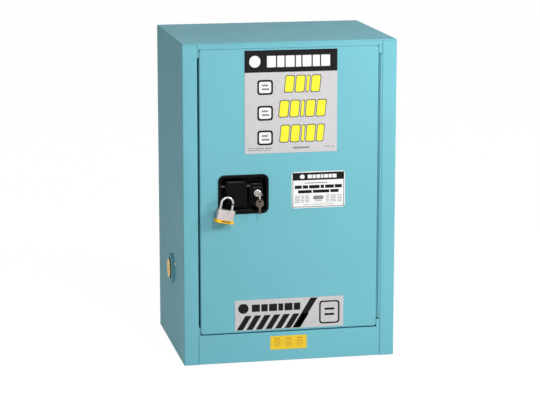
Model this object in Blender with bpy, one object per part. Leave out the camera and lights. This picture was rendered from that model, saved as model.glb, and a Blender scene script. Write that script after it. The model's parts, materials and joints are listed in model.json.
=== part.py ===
"""Compact double-walled safety cabinet for corrosive or flammable liquids, with one hinged door.

Metres, +Z up. The door faces -Y. Pieces are laid out from the cabinet's front face, at y = 0, and its
middle, at x = 0. One empty at the end puts the middle of the whole thing's base at the origin.
"""

import math

import bmesh
import bpy
from mathutils import Matrix, Vector

MM = 0.001
DEGREE = math.pi / 180
QUARTER = math.pi / 2

# Overall sizes of the cabinet body
WIDTH = 590.6 * MM
DEPTH = 457.2 * MM
HEIGHT = 889.0 * MM

# Sheet metal and the spaces between pieces
SHEET = 1.2 * MM
BEND = 3.0 * MM
GAP = 0.3 * MM
AIR = 38.1 * MM
OVERRUN = 2.0 * MM
LEAST_RADIUS = 0.2 * MM
CORNER_STEPS = 2
CUP_CORNER_STEPS = 3
BEND_STEPS = 2
ROUND_SIDES = 16
SMALL_SIDES = 10
FINE_SIDES = 8
HEX_SIDES = 6
SMOOTH_ANGLE = 35 * DEGREE

# Feet
FOOT_SHOW = 3.0 * MM
FOOT_FROM_SIDE = 34.0 * MM
FOOT_BEHIND_JAMB = 14.0 * MM
FOOT_RADIUS = 16.0 * MM
STUD_RADIUS = 5.0 * MM
FOOT_TRAVEL = 20.0 * MM
NUT_RADIUS = 9.0 * MM
NUT_HEIGHT = 8.0 * MM

# Frame round the door
STILE = AIR + 2 * SHEET + GAP
STOP = 14.0 * MM
REAR_FLANGE = 18.0 * MM
TOP_LIP = 4.0 * MM
TOP_RAIL = 15.8 * MM
BOTTOM_RAIL = 82.0 * MM
RAIL_RETURN = 12.0 * MM

# Door
DOOR_DEPTH = 38.0 * MM
DOOR_BACK_SPACE = 2.0 * MM
DOOR_RETURN = 20.0 * MM
DOOR_CORNER = 6.0 * MM
LATCH_SLIT = 5.3 * MM
HINGE_SLOT = 10.0 * MM
DOOR_TOP_SLIT = 1.2 * MM
DOOR_BOTTOM_SLIT = 3.0 * MM
LINER_INSET = 6.0 * MM
LINER_CORNER = 8.0 * MM

# Fillers at the ends of the slits beside the door
EAR_HEIGHT = 23.0 * MM
EAR_RECESS = 1.5 * MM
EAR_SPACE = 0.9 * MM

# Continuous hinge
KNUCKLE_PITCH = 25.4 * MM
HINGE_END_SPACE = 20.0 * MM
LEAF_SHEET = 1.0 * MM
BARREL_RADIUS = 3.1 * MM
AXIS_PROUD = 0.6 * MM
LEAF_WIDTH = 18.0 * MM
KNUCKLE_SPACE = 0.5 * MM
CURL_TURN = 270 * DEGREE
CURL_STEPS = 7

# Handle cup, let into the door
CUP_WIDTH = 139.7 * MM
CUP_HEIGHT = 108.5 * MM
CUP_FROM_EDGE = 49.7 * MM
CUP_Z = 475.75 * MM
CUP_CORNER = 14.0 * MM
CUP_RIM = 7.8 * MM
CUP_PROUD = 2.5 * MM
CUP_ROUND = 1.2 * MM
CUP_DRAFT = 1.7 * MM
CUP_WALL = 2.0 * MM
CUP_DEPTH = 28.0 * MM

# Paddle, turned about a pin near its top
PADDLE_LEFT = 12.9 * MM
PADDLE_DROP = 11.2 * MM
PADDLE_UNDER = 12.7 * MM
PADDLE_CORNER = 6.0 * MM
PADDLE_ROUND = 4.0 * MM
PADDLE_WALL = 2.5 * MM
PADDLE_DEPTH = 14.0 * MM
PADDLE_SUNK = 1.0 * MM
PIN_RADIUS = 2.5 * MM
PIN_BACK = 9.0 * MM
PIN_DROP = 14.0 * MM

# Lug on the paddle, for the padlock
LUG_WIDTH = 14.0 * MM
LUG_SHEET = 3.0 * MM
LUG_FOOT = 16.0 * MM
LUG_RISE = 11.0 * MM
LUG_SIDE = 13.1 * MM
LUG_SLOT_HALF = 5.9 * MM

# Lock beside the paddle
HOUSING_WIDTH = 39.0 * MM
HOUSING_CORNER = 5.0 * MM
HOUSING_ROUND = 2.0 * MM
HOUSING_SPACE = 6.0 * MM
HOUSING_SUNK = 4.0 * MM
HOUSING_TOP = 14.0 * MM
HOUSING_UNDER = 15.3 * MM
HOUSING_RIGHT = 6.4 * MM
LOCK_FROM_RIGHT = 30.2 * MM
LOCK_RISE = 1.2 * MM
LOCK_COLLAR_RADIUS = 10.5 * MM
LOCK_BODY_RADIUS = 9.2 * MM
LOCK_COLLAR = 3.2 * MM
PLUG_RADIUS = 6.0 * MM
PLUG_PROUD = 0.4 * MM
CAM_WIDTH = 11.0 * MM
CAM_LENGTH = 24.0 * MM
CAM_SHEET = 2.0 * MM

# Keys and their ring
KEY_SHEET = 2.0 * MM
KEY_BOW_RADIUS = 11.5 * MM
KEY_HOLE_RADIUS = 3.6 * MM
KEY_HOLE_OUT = 6.0 * MM
KEY_BLADE_WIDTH = 7.0 * MM
KEY_BLADE_LENGTH = 20.5 * MM
KEY_IN_PLUG = 16.0 * MM
RING_RADIUS = 9.0 * MM
RING_WIRE = 0.7 * MM
RING_REST = 1.3 * MM
RING_FORWARD = 1.25 * MM
RING_STEPS = 20

# Padlock hung on the lug
SHACKLE_SPAN = 33.0 * MM
SHACKLE_RADIUS = 3.25 * MM
SHACKLE_SHOW = 17.0 * MM
SHACKLE_IN = 13.0 * MM
SHACKLE_STEPS = 10
SHACKLE_OUT = 18.5 * MM
LOCK_BODY_WIDTH = 50.0 * MM
LOCK_BODY_THICK = 25.0 * MM
LOCK_BODY_HEIGHT = 27.5 * MM
LOCK_BODY_CORNER = 4.0 * MM
LAMINATIONS = 6
LAMINATION_GROOVE = 0.6 * MM
BUMPER_PROUD = 1.0 * MM
BUMPER_HEIGHT = 8.5 * MM
BUMPER_CORNER = 6.0 * MM
KEYWAY_RADIUS = 6.0 * MM
KEYWAY_DEPTH = 5.0 * MM
PADLOCK_TURN = 8.5 * DEGREE
PADLOCK_TILT = 12 * DEGREE

# Latch inside the door
ROTOR_ASIDE = 17.5 * MM
ROTOR_RISE = 14.2 * MM
ROTOR_ARM = 15.0 * MM
ROTOR_REACH = 19.0 * MM
ROTOR_HALF = 5.0 * MM
ROTOR_SHEET = 3.0 * MM
ROTOR_BACK = 25.0 * MM
POST_RADIUS = 4.0 * MM
ROD_PIN_RADIUS = 2.0 * MM
ROD_PIN_SPACE = 0.6 * MM
ROD_PIN_DRIFT = 2.4 * MM
LUG_WALL = 2.0 * MM
ROD_WIDTH = 7.0 * MM
ROD_SHEET = 3.0 * MM
ROD_SPACE = 1.0 * MM
ROD_SHORT = 0.5 * MM
GUIDE_HEIGHT = 14.0 * MM
GUIDE_WALL = 1.2 * MM
ARM_SHEET = 3.4 * MM
ARM_HALF = 4.5 * MM
ARM_REACH = 16.5 * MM
SPRING_WIRE = 0.5 * MM
SPRING_TURNS = 3
SPRING_PITCH = 1.7 * MM
SPRING_STEPS = 10
STRIKE_SLOT = 14.0 * MM
STRIKE_SLOT_DEPTH = 6.0 * MM

# Compartment
FLOOR_FLANGE = 15.0 * MM
SUMP_DEPTH = 50.0 * MM
SUMP_CORNER = 5.0 * MM
SHELF_Z = 452.0 * MM
SHELF_SPACE = 22.45 * MM
SHELF_FLANGE = 22.0 * MM
SHELF_END_SPACE = 2.0 * MM
CLIP_WIDTH = 16.0 * MM
CLIP_REACH = 14.0 * MM
CLIP_HEIGHT = 16.0 * MM
CLIP_SLOT_HEIGHT = 10.0 * MM
CLIP_SLOT_WIDTH = 5.0 * MM
CLIP_ROW_PITCH = 114.3 * MM
CLIP_ROW_SPACE = 120.0 * MM
CLIP_INSET = 45.0 * MM
TRAY_WALL = 3.0 * MM
TRAY_SPACE = 6.0 * MM
TRAY_CORNER = 14.0 * MM
TRAY_ROUND = 6.0 * MM
SHELF_TRAY_HEIGHT = 30.0 * MM
SUMP_TRAY_HEIGHT = 44.0 * MM

# Vents through both walls, low on the left and high on the right
VENT_BACK = 205.0 * MM
LEFT_VENT_Z = 232.0 * MM
RIGHT_VENT_DROP = 189.0 * MM
COLLAR_RADIUS = 42.0 * MM
COLLAR_PROUD = 8.0 * MM
COLLAR_ROUND = 2.5 * MM
BORE_RADIUS = 31.0 * MM
BORE_WALL = 2.5 * MM
BORE_LEDGE = 4.0 * MM
VENT_PLUG_PROUD = 3.0 * MM
VENT_PLUG_LENGTH = 20.0 * MM
VENT_CAP_RADIUS = 25.0 * MM
VENT_CAP_LENGTH = 9.0 * MM
PLUG_DISH = 6.0 * MM
PLUG_LIP = 4.0 * MM
PLUG_BOSS = 9.0 * MM
SCREEN_SHEET = 1.0 * MM
GROUND_BACK = 131.0 * MM
GROUND_Z = 259.0 * MM
GROUND_RADIUS = 3.5 * MM
GROUND_HEAD = 3.0 * MM
WASHER_RADIUS = 5.5 * MM
WASHER_SHEET = 1.2 * MM

# Plates on the front
PLATE_SHEET = 0.5 * MM
PLATE_CORNER = 1.0 * MM
UPPER_PLATE = (255.0 * MM, 280.4 * MM)
UPPER_PLATE_AT = (1.5 * MM, 726.5 * MM)
SIDE_PLATE = (149.3 * MM, 101.0 * MM)
SIDE_PLATE_AT = (78.0 * MM, 481.5 * MM)
SIDE_PLATE_CORNER = 7.0 * MM
LOWER_PLATE = (305.0 * MM, 86.0 * MM)
LOWER_PLATE_AT = (-2.0 * MM, 137.0 * MM)
SILL_PLATE = (102.6 * MM, 38.6 * MM)
SILL_PLATE_AT = (-4.3 * MM, 54.5 * MM)

# Lines that several pieces share
HALF = WIDTH / 2
OPENING_HALF = HALF - STILE
OPENING_LOW = FOOT_SHOW + BOTTOM_RAIL
OPENING_HIGH = HEIGHT - TOP_RAIL
JAMB = DOOR_DEPTH + DOOR_BACK_SPACE
DOOR_LEFT = -OPENING_HALF + LATCH_SLIT
DOOR_RIGHT = OPENING_HALF - HINGE_SLOT
DOOR_LOW = OPENING_LOW + DOOR_BOTTOM_SLIT
DOOR_HIGH = OPENING_HIGH - DOOR_TOP_SLIT
DOOR_MID_X = (DOOR_LEFT + DOOR_RIGHT) / 2
DOOR_MID_Z = (DOOR_LOW + DOOR_HIGH) / 2
LINER_LEFT = DOOR_LEFT + LINER_INSET
LINER_LOW = DOOR_LOW + LINER_INSET
LINER_HIGH = DOOR_HIGH - LINER_INSET
WALL_IN = SHEET + AIR
INNER_HALF = HALF - WALL_IN - SHEET
INNER_BACK = DEPTH - WALL_IN - SHEET
INNER_HIGH = HEIGHT - WALL_IN - SHEET
INNER_LOW = FOOT_SHOW + WALL_IN + SHEET + GAP
SIDE_TOP = HEIGHT - TOP_LIP - GAP
HINGE_X = OPENING_HALF - GAP - BARREL_RADIUS
HINGE_Y = -AXIS_PROUD
KNUCKLE_COUNT = int((DOOR_HIGH - DOOR_LOW - 2 * HINGE_END_SPACE) / KNUCKLE_PITCH)
HINGE_LENGTH = KNUCKLE_PITCH * KNUCKLE_COUNT
HINGE_LOW = DOOR_MID_Z - HINGE_LENGTH / 2
HINGE_HIGH = DOOR_MID_Z + HINGE_LENGTH / 2
CUP_LEFT = DOOR_LEFT + CUP_FROM_EDGE
CUP_X = CUP_LEFT + CUP_WIDTH / 2
CUP_TOP = CUP_Z + CUP_HEIGHT / 2
CUP_INNER_WIDTH = CUP_WIDTH - 2 * CUP_RIM
CUP_INNER_HEIGHT = CUP_HEIGHT - 2 * CUP_RIM
PADDLE_WIDTH = CUP_INNER_WIDTH - PADDLE_LEFT - HOUSING_SPACE - HOUSING_WIDTH - HOUSING_RIGHT
PADDLE_HEIGHT = CUP_INNER_HEIGHT - PADDLE_DROP - PADDLE_UNDER
HOUSING_HEIGHT = CUP_INNER_HEIGHT - HOUSING_TOP - HOUSING_UNDER
PADDLE_X = CUP_LEFT + CUP_RIM + PADDLE_LEFT + PADDLE_WIDTH / 2
PADDLE_TOP = CUP_TOP - CUP_RIM - PADDLE_DROP
PADDLE_Z = PADDLE_TOP - PADDLE_HEIGHT / 2
PIN_Y = PADDLE_SUNK + PIN_BACK
PIN_Z = PADDLE_TOP - PIN_DROP
HOUSING_X = PADDLE_X + PADDLE_WIDTH / 2 + HOUSING_SPACE + HOUSING_WIDTH / 2
HOUSING_Z = CUP_TOP - CUP_RIM - HOUSING_TOP - HOUSING_HEIGHT / 2
LOCK_X = CUP_LEFT + CUP_WIDTH - LOCK_FROM_RIGHT
LOCK_Z = CUP_Z + LOCK_RISE
ROTOR_X = CUP_LEFT - ROTOR_ASIDE
ROTOR_Z = CUP_Z + ROTOR_RISE
LUG_X = PADDLE_X - LUG_SIDE
LUG_Z = PADDLE_Z - PADDLE_HEIGHT / 2 + LUG_RISE
ROD_FRONT = ROTOR_BACK + ROTOR_SHEET + ROD_SPACE
ROD_BACK = ROD_FRONT + ROD_SHEET
ROD_HOLE = ROD_PIN_RADIUS + ROD_PIN_SPACE
LINER_FACE = DOOR_DEPTH - SHEET

FINISHES = {
    "blue paint": ((0.22, 0.50, 0.56), 0.45, 0.0),
    "zinc steel": ((0.62, 0.62, 0.60), 0.35, 1.0),
    "case steel": ((0.60, 0.59, 0.57), 0.40, 1.0),
    "black plastic": ((0.015, 0.015, 0.017), 0.30, 0.0),
    "black paint": ((0.015, 0.015, 0.016), 0.35, 0.0),
    "chrome": ((0.80, 0.80, 0.80), 0.12, 1.0),
    "nickel": ((0.45, 0.42, 0.38), 0.35, 1.0),
    "gold zinc": ((0.62, 0.44, 0.16), 0.35, 1.0),
    "yellow plastic": ((0.90, 0.55, 0.02), 0.40, 0.0),
    "white plastic": ((0.80, 0.81, 0.80), 0.50, 0.0),
    "grey plate": ((0.62, 0.62, 0.62), 0.45, 0.0),
    "white plate": ((0.85, 0.85, 0.85), 0.45, 0.0),
    "yellow plate": ((0.85, 0.60, 0.03), 0.45, 0.0),
}

PIVOTS = {}
REACH = []


def across_x(u, v, w):
    """Outline in the YZ plane, run along X."""
    return (w, u, v)


def across_y(u, v, w):
    """Outline in the XZ plane, run along Y."""
    return (u, w, v)


def across_z(u, v, w):
    """Outline in the XY plane, run along Z."""
    return (u, v, w)


def arc(centre, radius, start, turn, steps):
    """Points from the angle start, turned by turn about the centre."""
    angles = [start + turn * step / steps for step in range(steps + 1)]
    return [(centre[0] + radius * math.cos(a), centre[1] + radius * math.sin(a)) for a in angles]


def circle(centre, radius, sides):
    return arc(centre, radius, 0, 2 * math.pi, sides)[:-1]


def rounded_rect(width, height, radius, steps=CORNER_STEPS):
    """A rectangle about the origin with round corners."""
    radius = max(min(radius, width / 2, height / 2), LEAST_RADIUS)
    points = []
    for corner, (side, rise) in enumerate(((1, 1), (-1, 1), (-1, -1), (1, -1))):
        centre = (side * (width / 2 - radius), rise * (height / 2 - radius))
        points += arc(centre, radius, corner * QUARTER, QUARTER, steps)
    return points


def moved(outline, u, v):
    return [(point[0] + u, point[1] + v) for point in outline]


def left_of(direction):
    return Vector((-direction.y, direction.x)).normalized()


def folded_sides(path, sheet, bend):
    """Both sides of a folded sheet, for a path that has the sheet on its left."""
    points = [Vector(point) for point in path]
    first = points[1] - points[0]
    last = points[-1] - points[-2]
    near = [points[0]]
    far = [points[0] + left_of(first) * sheet]
    for before, corner, after in zip(points, points[1:], points[2:]):
        ahead = (corner - before).normalized()
        onward = (after - corner).normalized()
        turn = math.atan2(ahead.cross(onward), ahead.dot(onward))
        side = math.copysign(1, turn)
        radius = bend if side > 0 else bend - sheet
        centre = corner - ahead * radius * math.tan(abs(turn) / 2) + left_of(ahead) * side * radius
        start = -left_of(ahead) * side
        first_angle = math.atan2(start.y, start.x)
        near += [Vector(p) for p in arc(centre, radius, first_angle, turn, BEND_STEPS)]
        far += [Vector(p) for p in arc(centre, radius - side * sheet, first_angle, turn, BEND_STEPS)]
    near.append(points[-1])
    far.append(points[-1] + left_of(last) * sheet)
    return near, far


def folded(path, sheet=SHEET, bend=BEND):
    near, far = folded_sides(path, sheet, bend)
    return near + far[::-1]


def add_rings(bm, rings, closed=False):
    """Joins loops of points one after another into a closed body."""
    loops = [[bm.verts.new(point) for point in ring] for ring in rings]
    pairs = list(zip(loops, loops[1:]))
    if closed:
        pairs.append((loops[-1], loops[0]))
    for low, high in pairs:
        for index, vertex in enumerate(low):
            after = (index + 1) % len(low)
            bm.faces.new((vertex, low[after], high[after], high[index]))
    if not closed:
        bm.faces.new(loops[0])
        bm.faces.new(loops[-1][::-1])


def add_prism(bm, outline, low, high, place):
    add_rings(bm, [[place(u, v, w) for u, v in outline] for w in (low, high)])


def add_box(bm, low, high):
    outline = [(low[0], low[1]), (high[0], low[1]), (high[0], high[1]), (low[0], high[1])]
    add_prism(bm, outline, low[2], high[2], across_z)


def add_turned(bm, profile, centre, place, sides=ROUND_SIDES, closed=False):
    """Turns (radius, distance) pairs about the line through the centre."""
    rings = [[place(u, v, w) for u, v in circle(centre, radius, sides)] for radius, w in profile]
    add_rings(bm, rings, closed)


def add_inset_rings(bm, width, height, corner, stations, centre, place, steps=CORNER_STEPS):
    """Round-cornered loops, each at an inset and a distance, joined into a closed body."""
    rings = []
    for inset, w in stations:
        outline = rounded_rect(width - 2 * inset, height - 2 * inset, corner - inset, steps)
        rings.append([place(u, v, w) for u, v in moved(outline, *centre)])
    add_rings(bm, rings)


def pan_stations(depth, sheet, bend):
    """Insets and depths of a pan, from the inside of its flat face over the rim to the outside."""
    inner = max(bend - sheet, LEAST_RADIUS)
    angles = [QUARTER * step / BEND_STEPS for step in range(BEND_STEPS + 1)]
    inside = [(sheet + inner * (1 - math.sin(a)), sheet + inner * (1 - math.cos(a))) for a in angles]
    outside = [(bend * (1 - math.sin(a)), bend * (1 - math.cos(a))) for a in angles[::-1]]
    return inside + [(sheet, depth), (0, depth)] + outside


def shifted(stations, start, direction):
    return [(inset, start + direction * w) for inset, w in stations]


def add_planar_tube(bm, path, radius, normal, sides=FINE_SIDES, closed=False):
    """A round bar along points that lie in the plane square to the normal."""
    rings = []
    for index, point in enumerate(path):
        before = path[index - 1] if closed or index else point
        after = path[(index + 1) % len(path)] if closed or index < len(path) - 1 else point
        across = (after - before).cross(normal).normalized()
        turns = circle((0, 0), radius, sides)
        rings.append([point + across * u + normal * v for u, v in turns])
    add_rings(bm, rings, closed)


def new_mesh_object(name, bm, pivot):
    """Makes an object of the shape, with its own zero at the pivot that it hangs from."""
    bmesh.ops.recalc_face_normals(bm, faces=bm.faces)
    empty, place = PIVOTS[pivot]
    bmesh.ops.translate(bm, verts=bm.verts, vec=-place)
    mesh = bpy.data.meshes.new(name)
    bm.to_mesh(mesh)
    bm.free()
    mesh.shade_smooth()
    mesh.set_sharp_from_angle(angle=SMOOTH_ANGLE)
    obj = bpy.data.objects.new(name, mesh)
    obj.parent = empty
    bpy.context.scene.collection.objects.link(obj)
    return obj


def add_finish(obj, finish):
    colour, roughness, metallic = FINISHES[finish]
    material = bpy.data.materials.new(obj.name)
    material.use_nodes = True
    shader = material.node_tree.nodes["Principled BSDF"]
    shader.inputs["Base Color"].default_value = (*colour, 1)
    shader.inputs["Roughness"].default_value = roughness
    shader.inputs["Metallic"].default_value = metallic
    material.diffuse_color = (*colour, 1)
    obj.data.materials.append(material)


def make(name, finish, shapes, pivot="cabinet"):
    """One named piece: each shape is a function that adds to the piece's mesh."""
    bm = bmesh.new()
    for shape in shapes:
        shape(bm)
    REACH.extend(vertex.co.copy() for vertex in bm.verts)
    obj = new_mesh_object(name, bm, pivot)
    add_finish(obj, finish)
    return obj


def combine(operation, pieces, name, shapes, pivot):
    bm = bmesh.new()
    for shape in shapes:
        shape(bm)
    helper = new_mesh_object(name, bm, pivot)
    helper.hide_render = True
    helper.display_type = "WIRE"
    for piece in pieces:
        modifier = piece.modifiers.new(name, "BOOLEAN")
        modifier.object = helper
        modifier.operation = operation
        modifier.solver = "EXACT"


def cut(pieces, name, shapes, pivot="cabinet"):
    """Cuts the shapes out of each piece."""
    combine("DIFFERENCE", pieces, name, shapes, pivot)


def weld(piece, name, shapes, pivot="cabinet"):
    """Makes the shapes, which run into the piece, one body with it."""
    combine("UNION", [piece], name, shapes, pivot)


def add_pivot(name, place, parent=None):
    """An empty on a joint's axis, which the pieces that turn or slide there hang from."""
    empty = bpy.data.objects.new(name, None)
    bpy.context.scene.collection.objects.link(empty)
    place = Vector(place)
    if parent:
        holder, holder_place = PIVOTS[parent]
        empty.parent = holder
        empty.location = place - holder_place
    PIVOTS[name] = (empty, place)


def prism(outline, low, high, place):
    return lambda bm: add_prism(bm, outline, low, high, place)


def box(low, high):
    return lambda bm: add_box(bm, low, high)


def turned(profile, centre, place, sides=ROUND_SIDES, closed=False):
    return lambda bm: add_turned(bm, profile, centre, place, sides, closed)


def inset_rings(width, height, corner, stations, centre, place, steps=CORNER_STEPS):
    return lambda bm: add_inset_rings(bm, width, height, corner, stations, centre, place, steps)


def rod(centre, radius, low, high, place, sides=SMALL_SIDES):
    return turned([(radius, low), (radius, high)], centre, place, sides)


def clear_scene():
    for obj in list(bpy.data.objects):
        bpy.data.objects.remove(obj, do_unlink=True)


def add_pivots():
    add_pivot("cabinet", (0, 0, 0))
    add_pivot("door_axis", (HINGE_X, HINGE_Y, DOOR_MID_Z), "cabinet")
    add_pivot("paddle_axis", (PADDLE_X, PIN_Y, PIN_Z), "door_axis")
    shackle_top = (LUG_X, -SHACKLE_OUT + PADDLE_SUNK, LUG_Z)
    add_pivot("padlock_axis", shackle_top, "paddle_axis")
    add_pivot("padlock_case_axis", shackle_top, "padlock_axis")
    add_pivot("lock_axis", (LOCK_X, HOUSING_SUNK, LOCK_Z), "door_axis")
    add_pivot("ring_axis", (LOCK_X, key_strip_y(), LOCK_Z), "lock_axis")
    add_pivot("rotor_axis", (ROTOR_X, ROTOR_BACK, ROTOR_Z), "door_axis")


def side_outline(side):
    """Rear flange, side, stile, jamb and stop, seen from above; side is -1 at the left."""
    path = [
        (-HALF + REAR_FLANGE, DEPTH),
        (-HALF, DEPTH),
        (-HALF, 0),
        (-OPENING_HALF, 0),
        (-OPENING_HALF, JAMB),
        (-OPENING_HALF + STOP, JAMB),
    ]
    return [(-side * point[0], point[1]) for point in folded(path)]


def make_shell():
    sides = []
    for name, side in (("left_side_panel", -1), ("right_side_panel", 1)):
        sides.append(make(name, "blue paint", [prism(side_outline(side), FOOT_SHOW, SIDE_TOP, across_z)]))
    notch_half = OPENING_HALF + SHEET + GAP
    notch_front = JAMB - BEND
    notch_back = JAMB + SHEET + OVERRUN
    cut(
        sides,
        "stop_end_cutter",
        [
            box(
                (-notch_half, notch_front, OPENING_HIGH - STOP - GAP),
                (notch_half, notch_back, HEIGHT + OVERRUN),
            ),
            box((-notch_half, notch_front, 0), (notch_half, notch_back, OPENING_LOW + STOP + GAP)),
        ],
    )
    base_low = FOOT_SHOW + SHEET + GAP
    base_space = base_low + FLOOR_FLANGE + GAP
    cut(sides, "jamb_foot_cutter", [box((-HALF + BEND, BEND, 0), (HALF - BEND, notch_back, base_space))])
    top = inset_rings(
        WIDTH,
        DEPTH,
        BEND,
        shifted(pan_stations(TOP_LIP, SHEET, BEND), HEIGHT, -1),
        (0, DEPTH / 2),
        across_z,
    )
    make("top_panel", "blue paint", [top])
    rail_half = OPENING_HALF - GAP
    ceiling_lap = OPENING_HIGH - INNER_HIGH + BEND
    top_rail = [
        (0, SIDE_TOP),
        (0, OPENING_HIGH),
        (JAMB, OPENING_HIGH),
        (JAMB, OPENING_HIGH - ceiling_lap),
    ]
    bottom_rail = [
        (JAMB, OPENING_LOW + STOP),
        (JAMB, OPENING_LOW),
        (0, OPENING_LOW),
        (0, FOOT_SHOW),
        (RAIL_RETURN, FOOT_SHOW),
    ]
    stop_half = OPENING_HALF - STOP - GAP
    rails = [
        make("top_rail", "blue paint", [prism(folded(top_rail), -rail_half, rail_half, across_x)]),
        make("bottom_rail", "blue paint", [prism(folded(bottom_rail), -rail_half, rail_half, across_x)]),
    ]
    side_stop_top = OPENING_HIGH - STOP
    cut(
        rails[:1],
        "ceiling_lap_cutter",
        [
            box((-rail_half - OVERRUN, JAMB - BEND, 0), (-stop_half, notch_back, side_stop_top)),
            box((stop_half, JAMB - BEND, 0), (rail_half + OVERRUN, notch_back, side_stop_top)),
        ],
    )
    back_half = HALF - BEND - GAP
    back_face = DEPTH - SHEET - GAP
    back_top = HEIGHT - BEND - GAP
    make(
        "back_panel",
        "blue paint",
        [box((-back_half, back_face - SHEET, FOOT_SHOW), (back_half, back_face, back_top))],
    )
    base_front = BEND + GAP
    base_back = back_face - SHEET - GAP
    base = inset_rings(
        WIDTH - 2 * (SHEET + GAP),
        base_back - base_front,
        BEND,
        shifted(pan_stations(FLOOR_FLANGE, SHEET, BEND), base_low, 1),
        (0, (base_front + base_back) / 2),
        across_z,
    )
    base_panel = make("base_panel", "blue paint", [base])
    stud_holes = [rod(at, STUD_RADIUS + GAP, 0, base_low + FLOOR_FLANGE, across_z) for at in foot_places()]
    cut([base_panel], "stud_hole_cutter", stud_holes)
    return sides, rails


def foot_places():
    from_front = JAMB + SHEET + FOOT_BEHIND_JAMB
    return [
        (side * (HALF - FOOT_FROM_SIDE), along)
        for along in (from_front, DEPTH - from_front)
        for side in (-1, 1)
    ]


def make_feet():
    """A round pad on a stud at each corner, with a nut that stops it from dropping out of the base."""
    nut_low = FOOT_SHOW + 2 * SHEET + GAP + FOOT_TRAVEL + GAP
    names = ("front_left_foot", "front_right_foot", "rear_left_foot", "rear_right_foot")
    for name, at in zip(names, foot_places()):
        add_pivot(name + "_axis", (*at, 0), "cabinet")
        profile = [
            (FOOT_RADIUS - OVERRUN, 0),
            (FOOT_RADIUS, FOOT_SHOW / 3),
            (FOOT_RADIUS, FOOT_SHOW - GAP),
            (STUD_RADIUS, FOOT_SHOW - GAP),
            (STUD_RADIUS, nut_low),
            (NUT_RADIUS, nut_low),
            (NUT_RADIUS, nut_low + NUT_HEIGHT),
        ]
        make(name, "zinc steel", [turned(profile, at, across_z, SMALL_SIDES)], name + "_axis")


def weld_ears(top_rail, bottom_rail):
    """Small painted tabs on the rails that close both ends of the slits beside the door."""
    front = EAR_RECESS
    back = EAR_RECESS + SHEET
    left = (-OPENING_HALF + GAP, DOOR_LEFT - EAR_SPACE)
    right = (DOOR_RIGHT + EAR_SPACE, OPENING_HALF - GAP)
    sides = (left, right)
    lap = SHEET / 2
    low = [box((x[0], front, OPENING_LOW - lap), (x[1], back, OPENING_LOW + EAR_HEIGHT)) for x in sides]
    high = [box((x[0], front, OPENING_HIGH - EAR_HEIGHT), (x[1], back, OPENING_HIGH + lap)) for x in sides]
    weld(top_rail, "top_ears", high)
    weld(bottom_rail, "bottom_ears", low)


def make_compartment(sides):
    front = JAMB + SHEET + GAP
    wall_back = INNER_BACK - GAP
    wall_low = INNER_LOW
    ceiling_low = INNER_HIGH
    walls = []
    for name, side in (("inner_left_wall", -1), ("inner_right_wall", 1)):
        ends = sorted((side * INNER_HALF, side * (INNER_HALF + SHEET)))
        wall = box((ends[0], front, wall_low), (ends[1], wall_back, ceiling_low - GAP))
        walls.append(make(name, "blue paint", [wall]))
    back_half = INNER_HALF + SHEET
    make(
        "inner_back_wall",
        "blue paint",
        [box((-back_half, INNER_BACK, wall_low), (back_half, INNER_BACK + SHEET, ceiling_low - GAP))],
    )
    make(
        "inner_ceiling",
        "blue paint",
        [box((-back_half, front, ceiling_low), (back_half, INNER_BACK + SHEET, ceiling_low + SHEET))],
    )
    sump_depth = wall_back - front
    sump = inset_rings(
        2 * (INNER_HALF - GAP),
        sump_depth,
        SUMP_CORNER,
        shifted(pan_stations(SUMP_DEPTH, SHEET, BEND), wall_low, 1),
        (0, (front + wall_back) / 2),
        across_z,
    )
    make("sump_pan", "blue paint", [sump])
    make_clip_slots(walls, front, wall_back)
    make_shelf(front, wall_back)
    make_sump_tray(front, wall_back)
    return walls


def clip_lines(front, back):
    return (front + CLIP_INSET, back - CLIP_INSET)


def make_clip_slots(walls, front, back):
    """Rows of slots in both inner walls, and the four clips that hold the shelf in one row."""
    slots = []
    reach = INNER_HALF + SHEET + OVERRUN
    shelf_row = SHELF_Z - CLIP_HEIGHT / 2
    rows_below = int((shelf_row - INNER_LOW - CLIP_ROW_SPACE) / CLIP_ROW_PITCH)
    rows_above = int((INNER_HIGH - shelf_row - CLIP_ROW_SPACE) / CLIP_ROW_PITCH)
    for row in range(-rows_below, rows_above + 1):
        z = shelf_row + row * CLIP_ROW_PITCH
        for y in clip_lines(front, back):
            slots.append(
                box(
                    (-reach, y - CLIP_SLOT_WIDTH / 2, z - CLIP_SLOT_HEIGHT / 2),
                    (reach, y + CLIP_SLOT_WIDTH / 2, z + CLIP_SLOT_HEIGHT / 2),
                )
            )
    cut(walls, "clip_slot_cutter", slots)
    clip_face = INNER_HALF - GAP
    for side_name, side in (("left", -1), ("right", 1)):
        ends = sorted((side * clip_face, side * (clip_face - CLIP_REACH)))
        for end_name, y in zip(("front", "rear"), clip_lines(front, back)):
            low = (ends[0], y - CLIP_WIDTH / 2, SHELF_Z - CLIP_HEIGHT)
            high = (ends[1], y + CLIP_WIDTH / 2, SHELF_Z - GAP)
            make(f"{end_name}_{side_name}_shelf_clip", "zinc steel", [box(low, high)])


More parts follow.
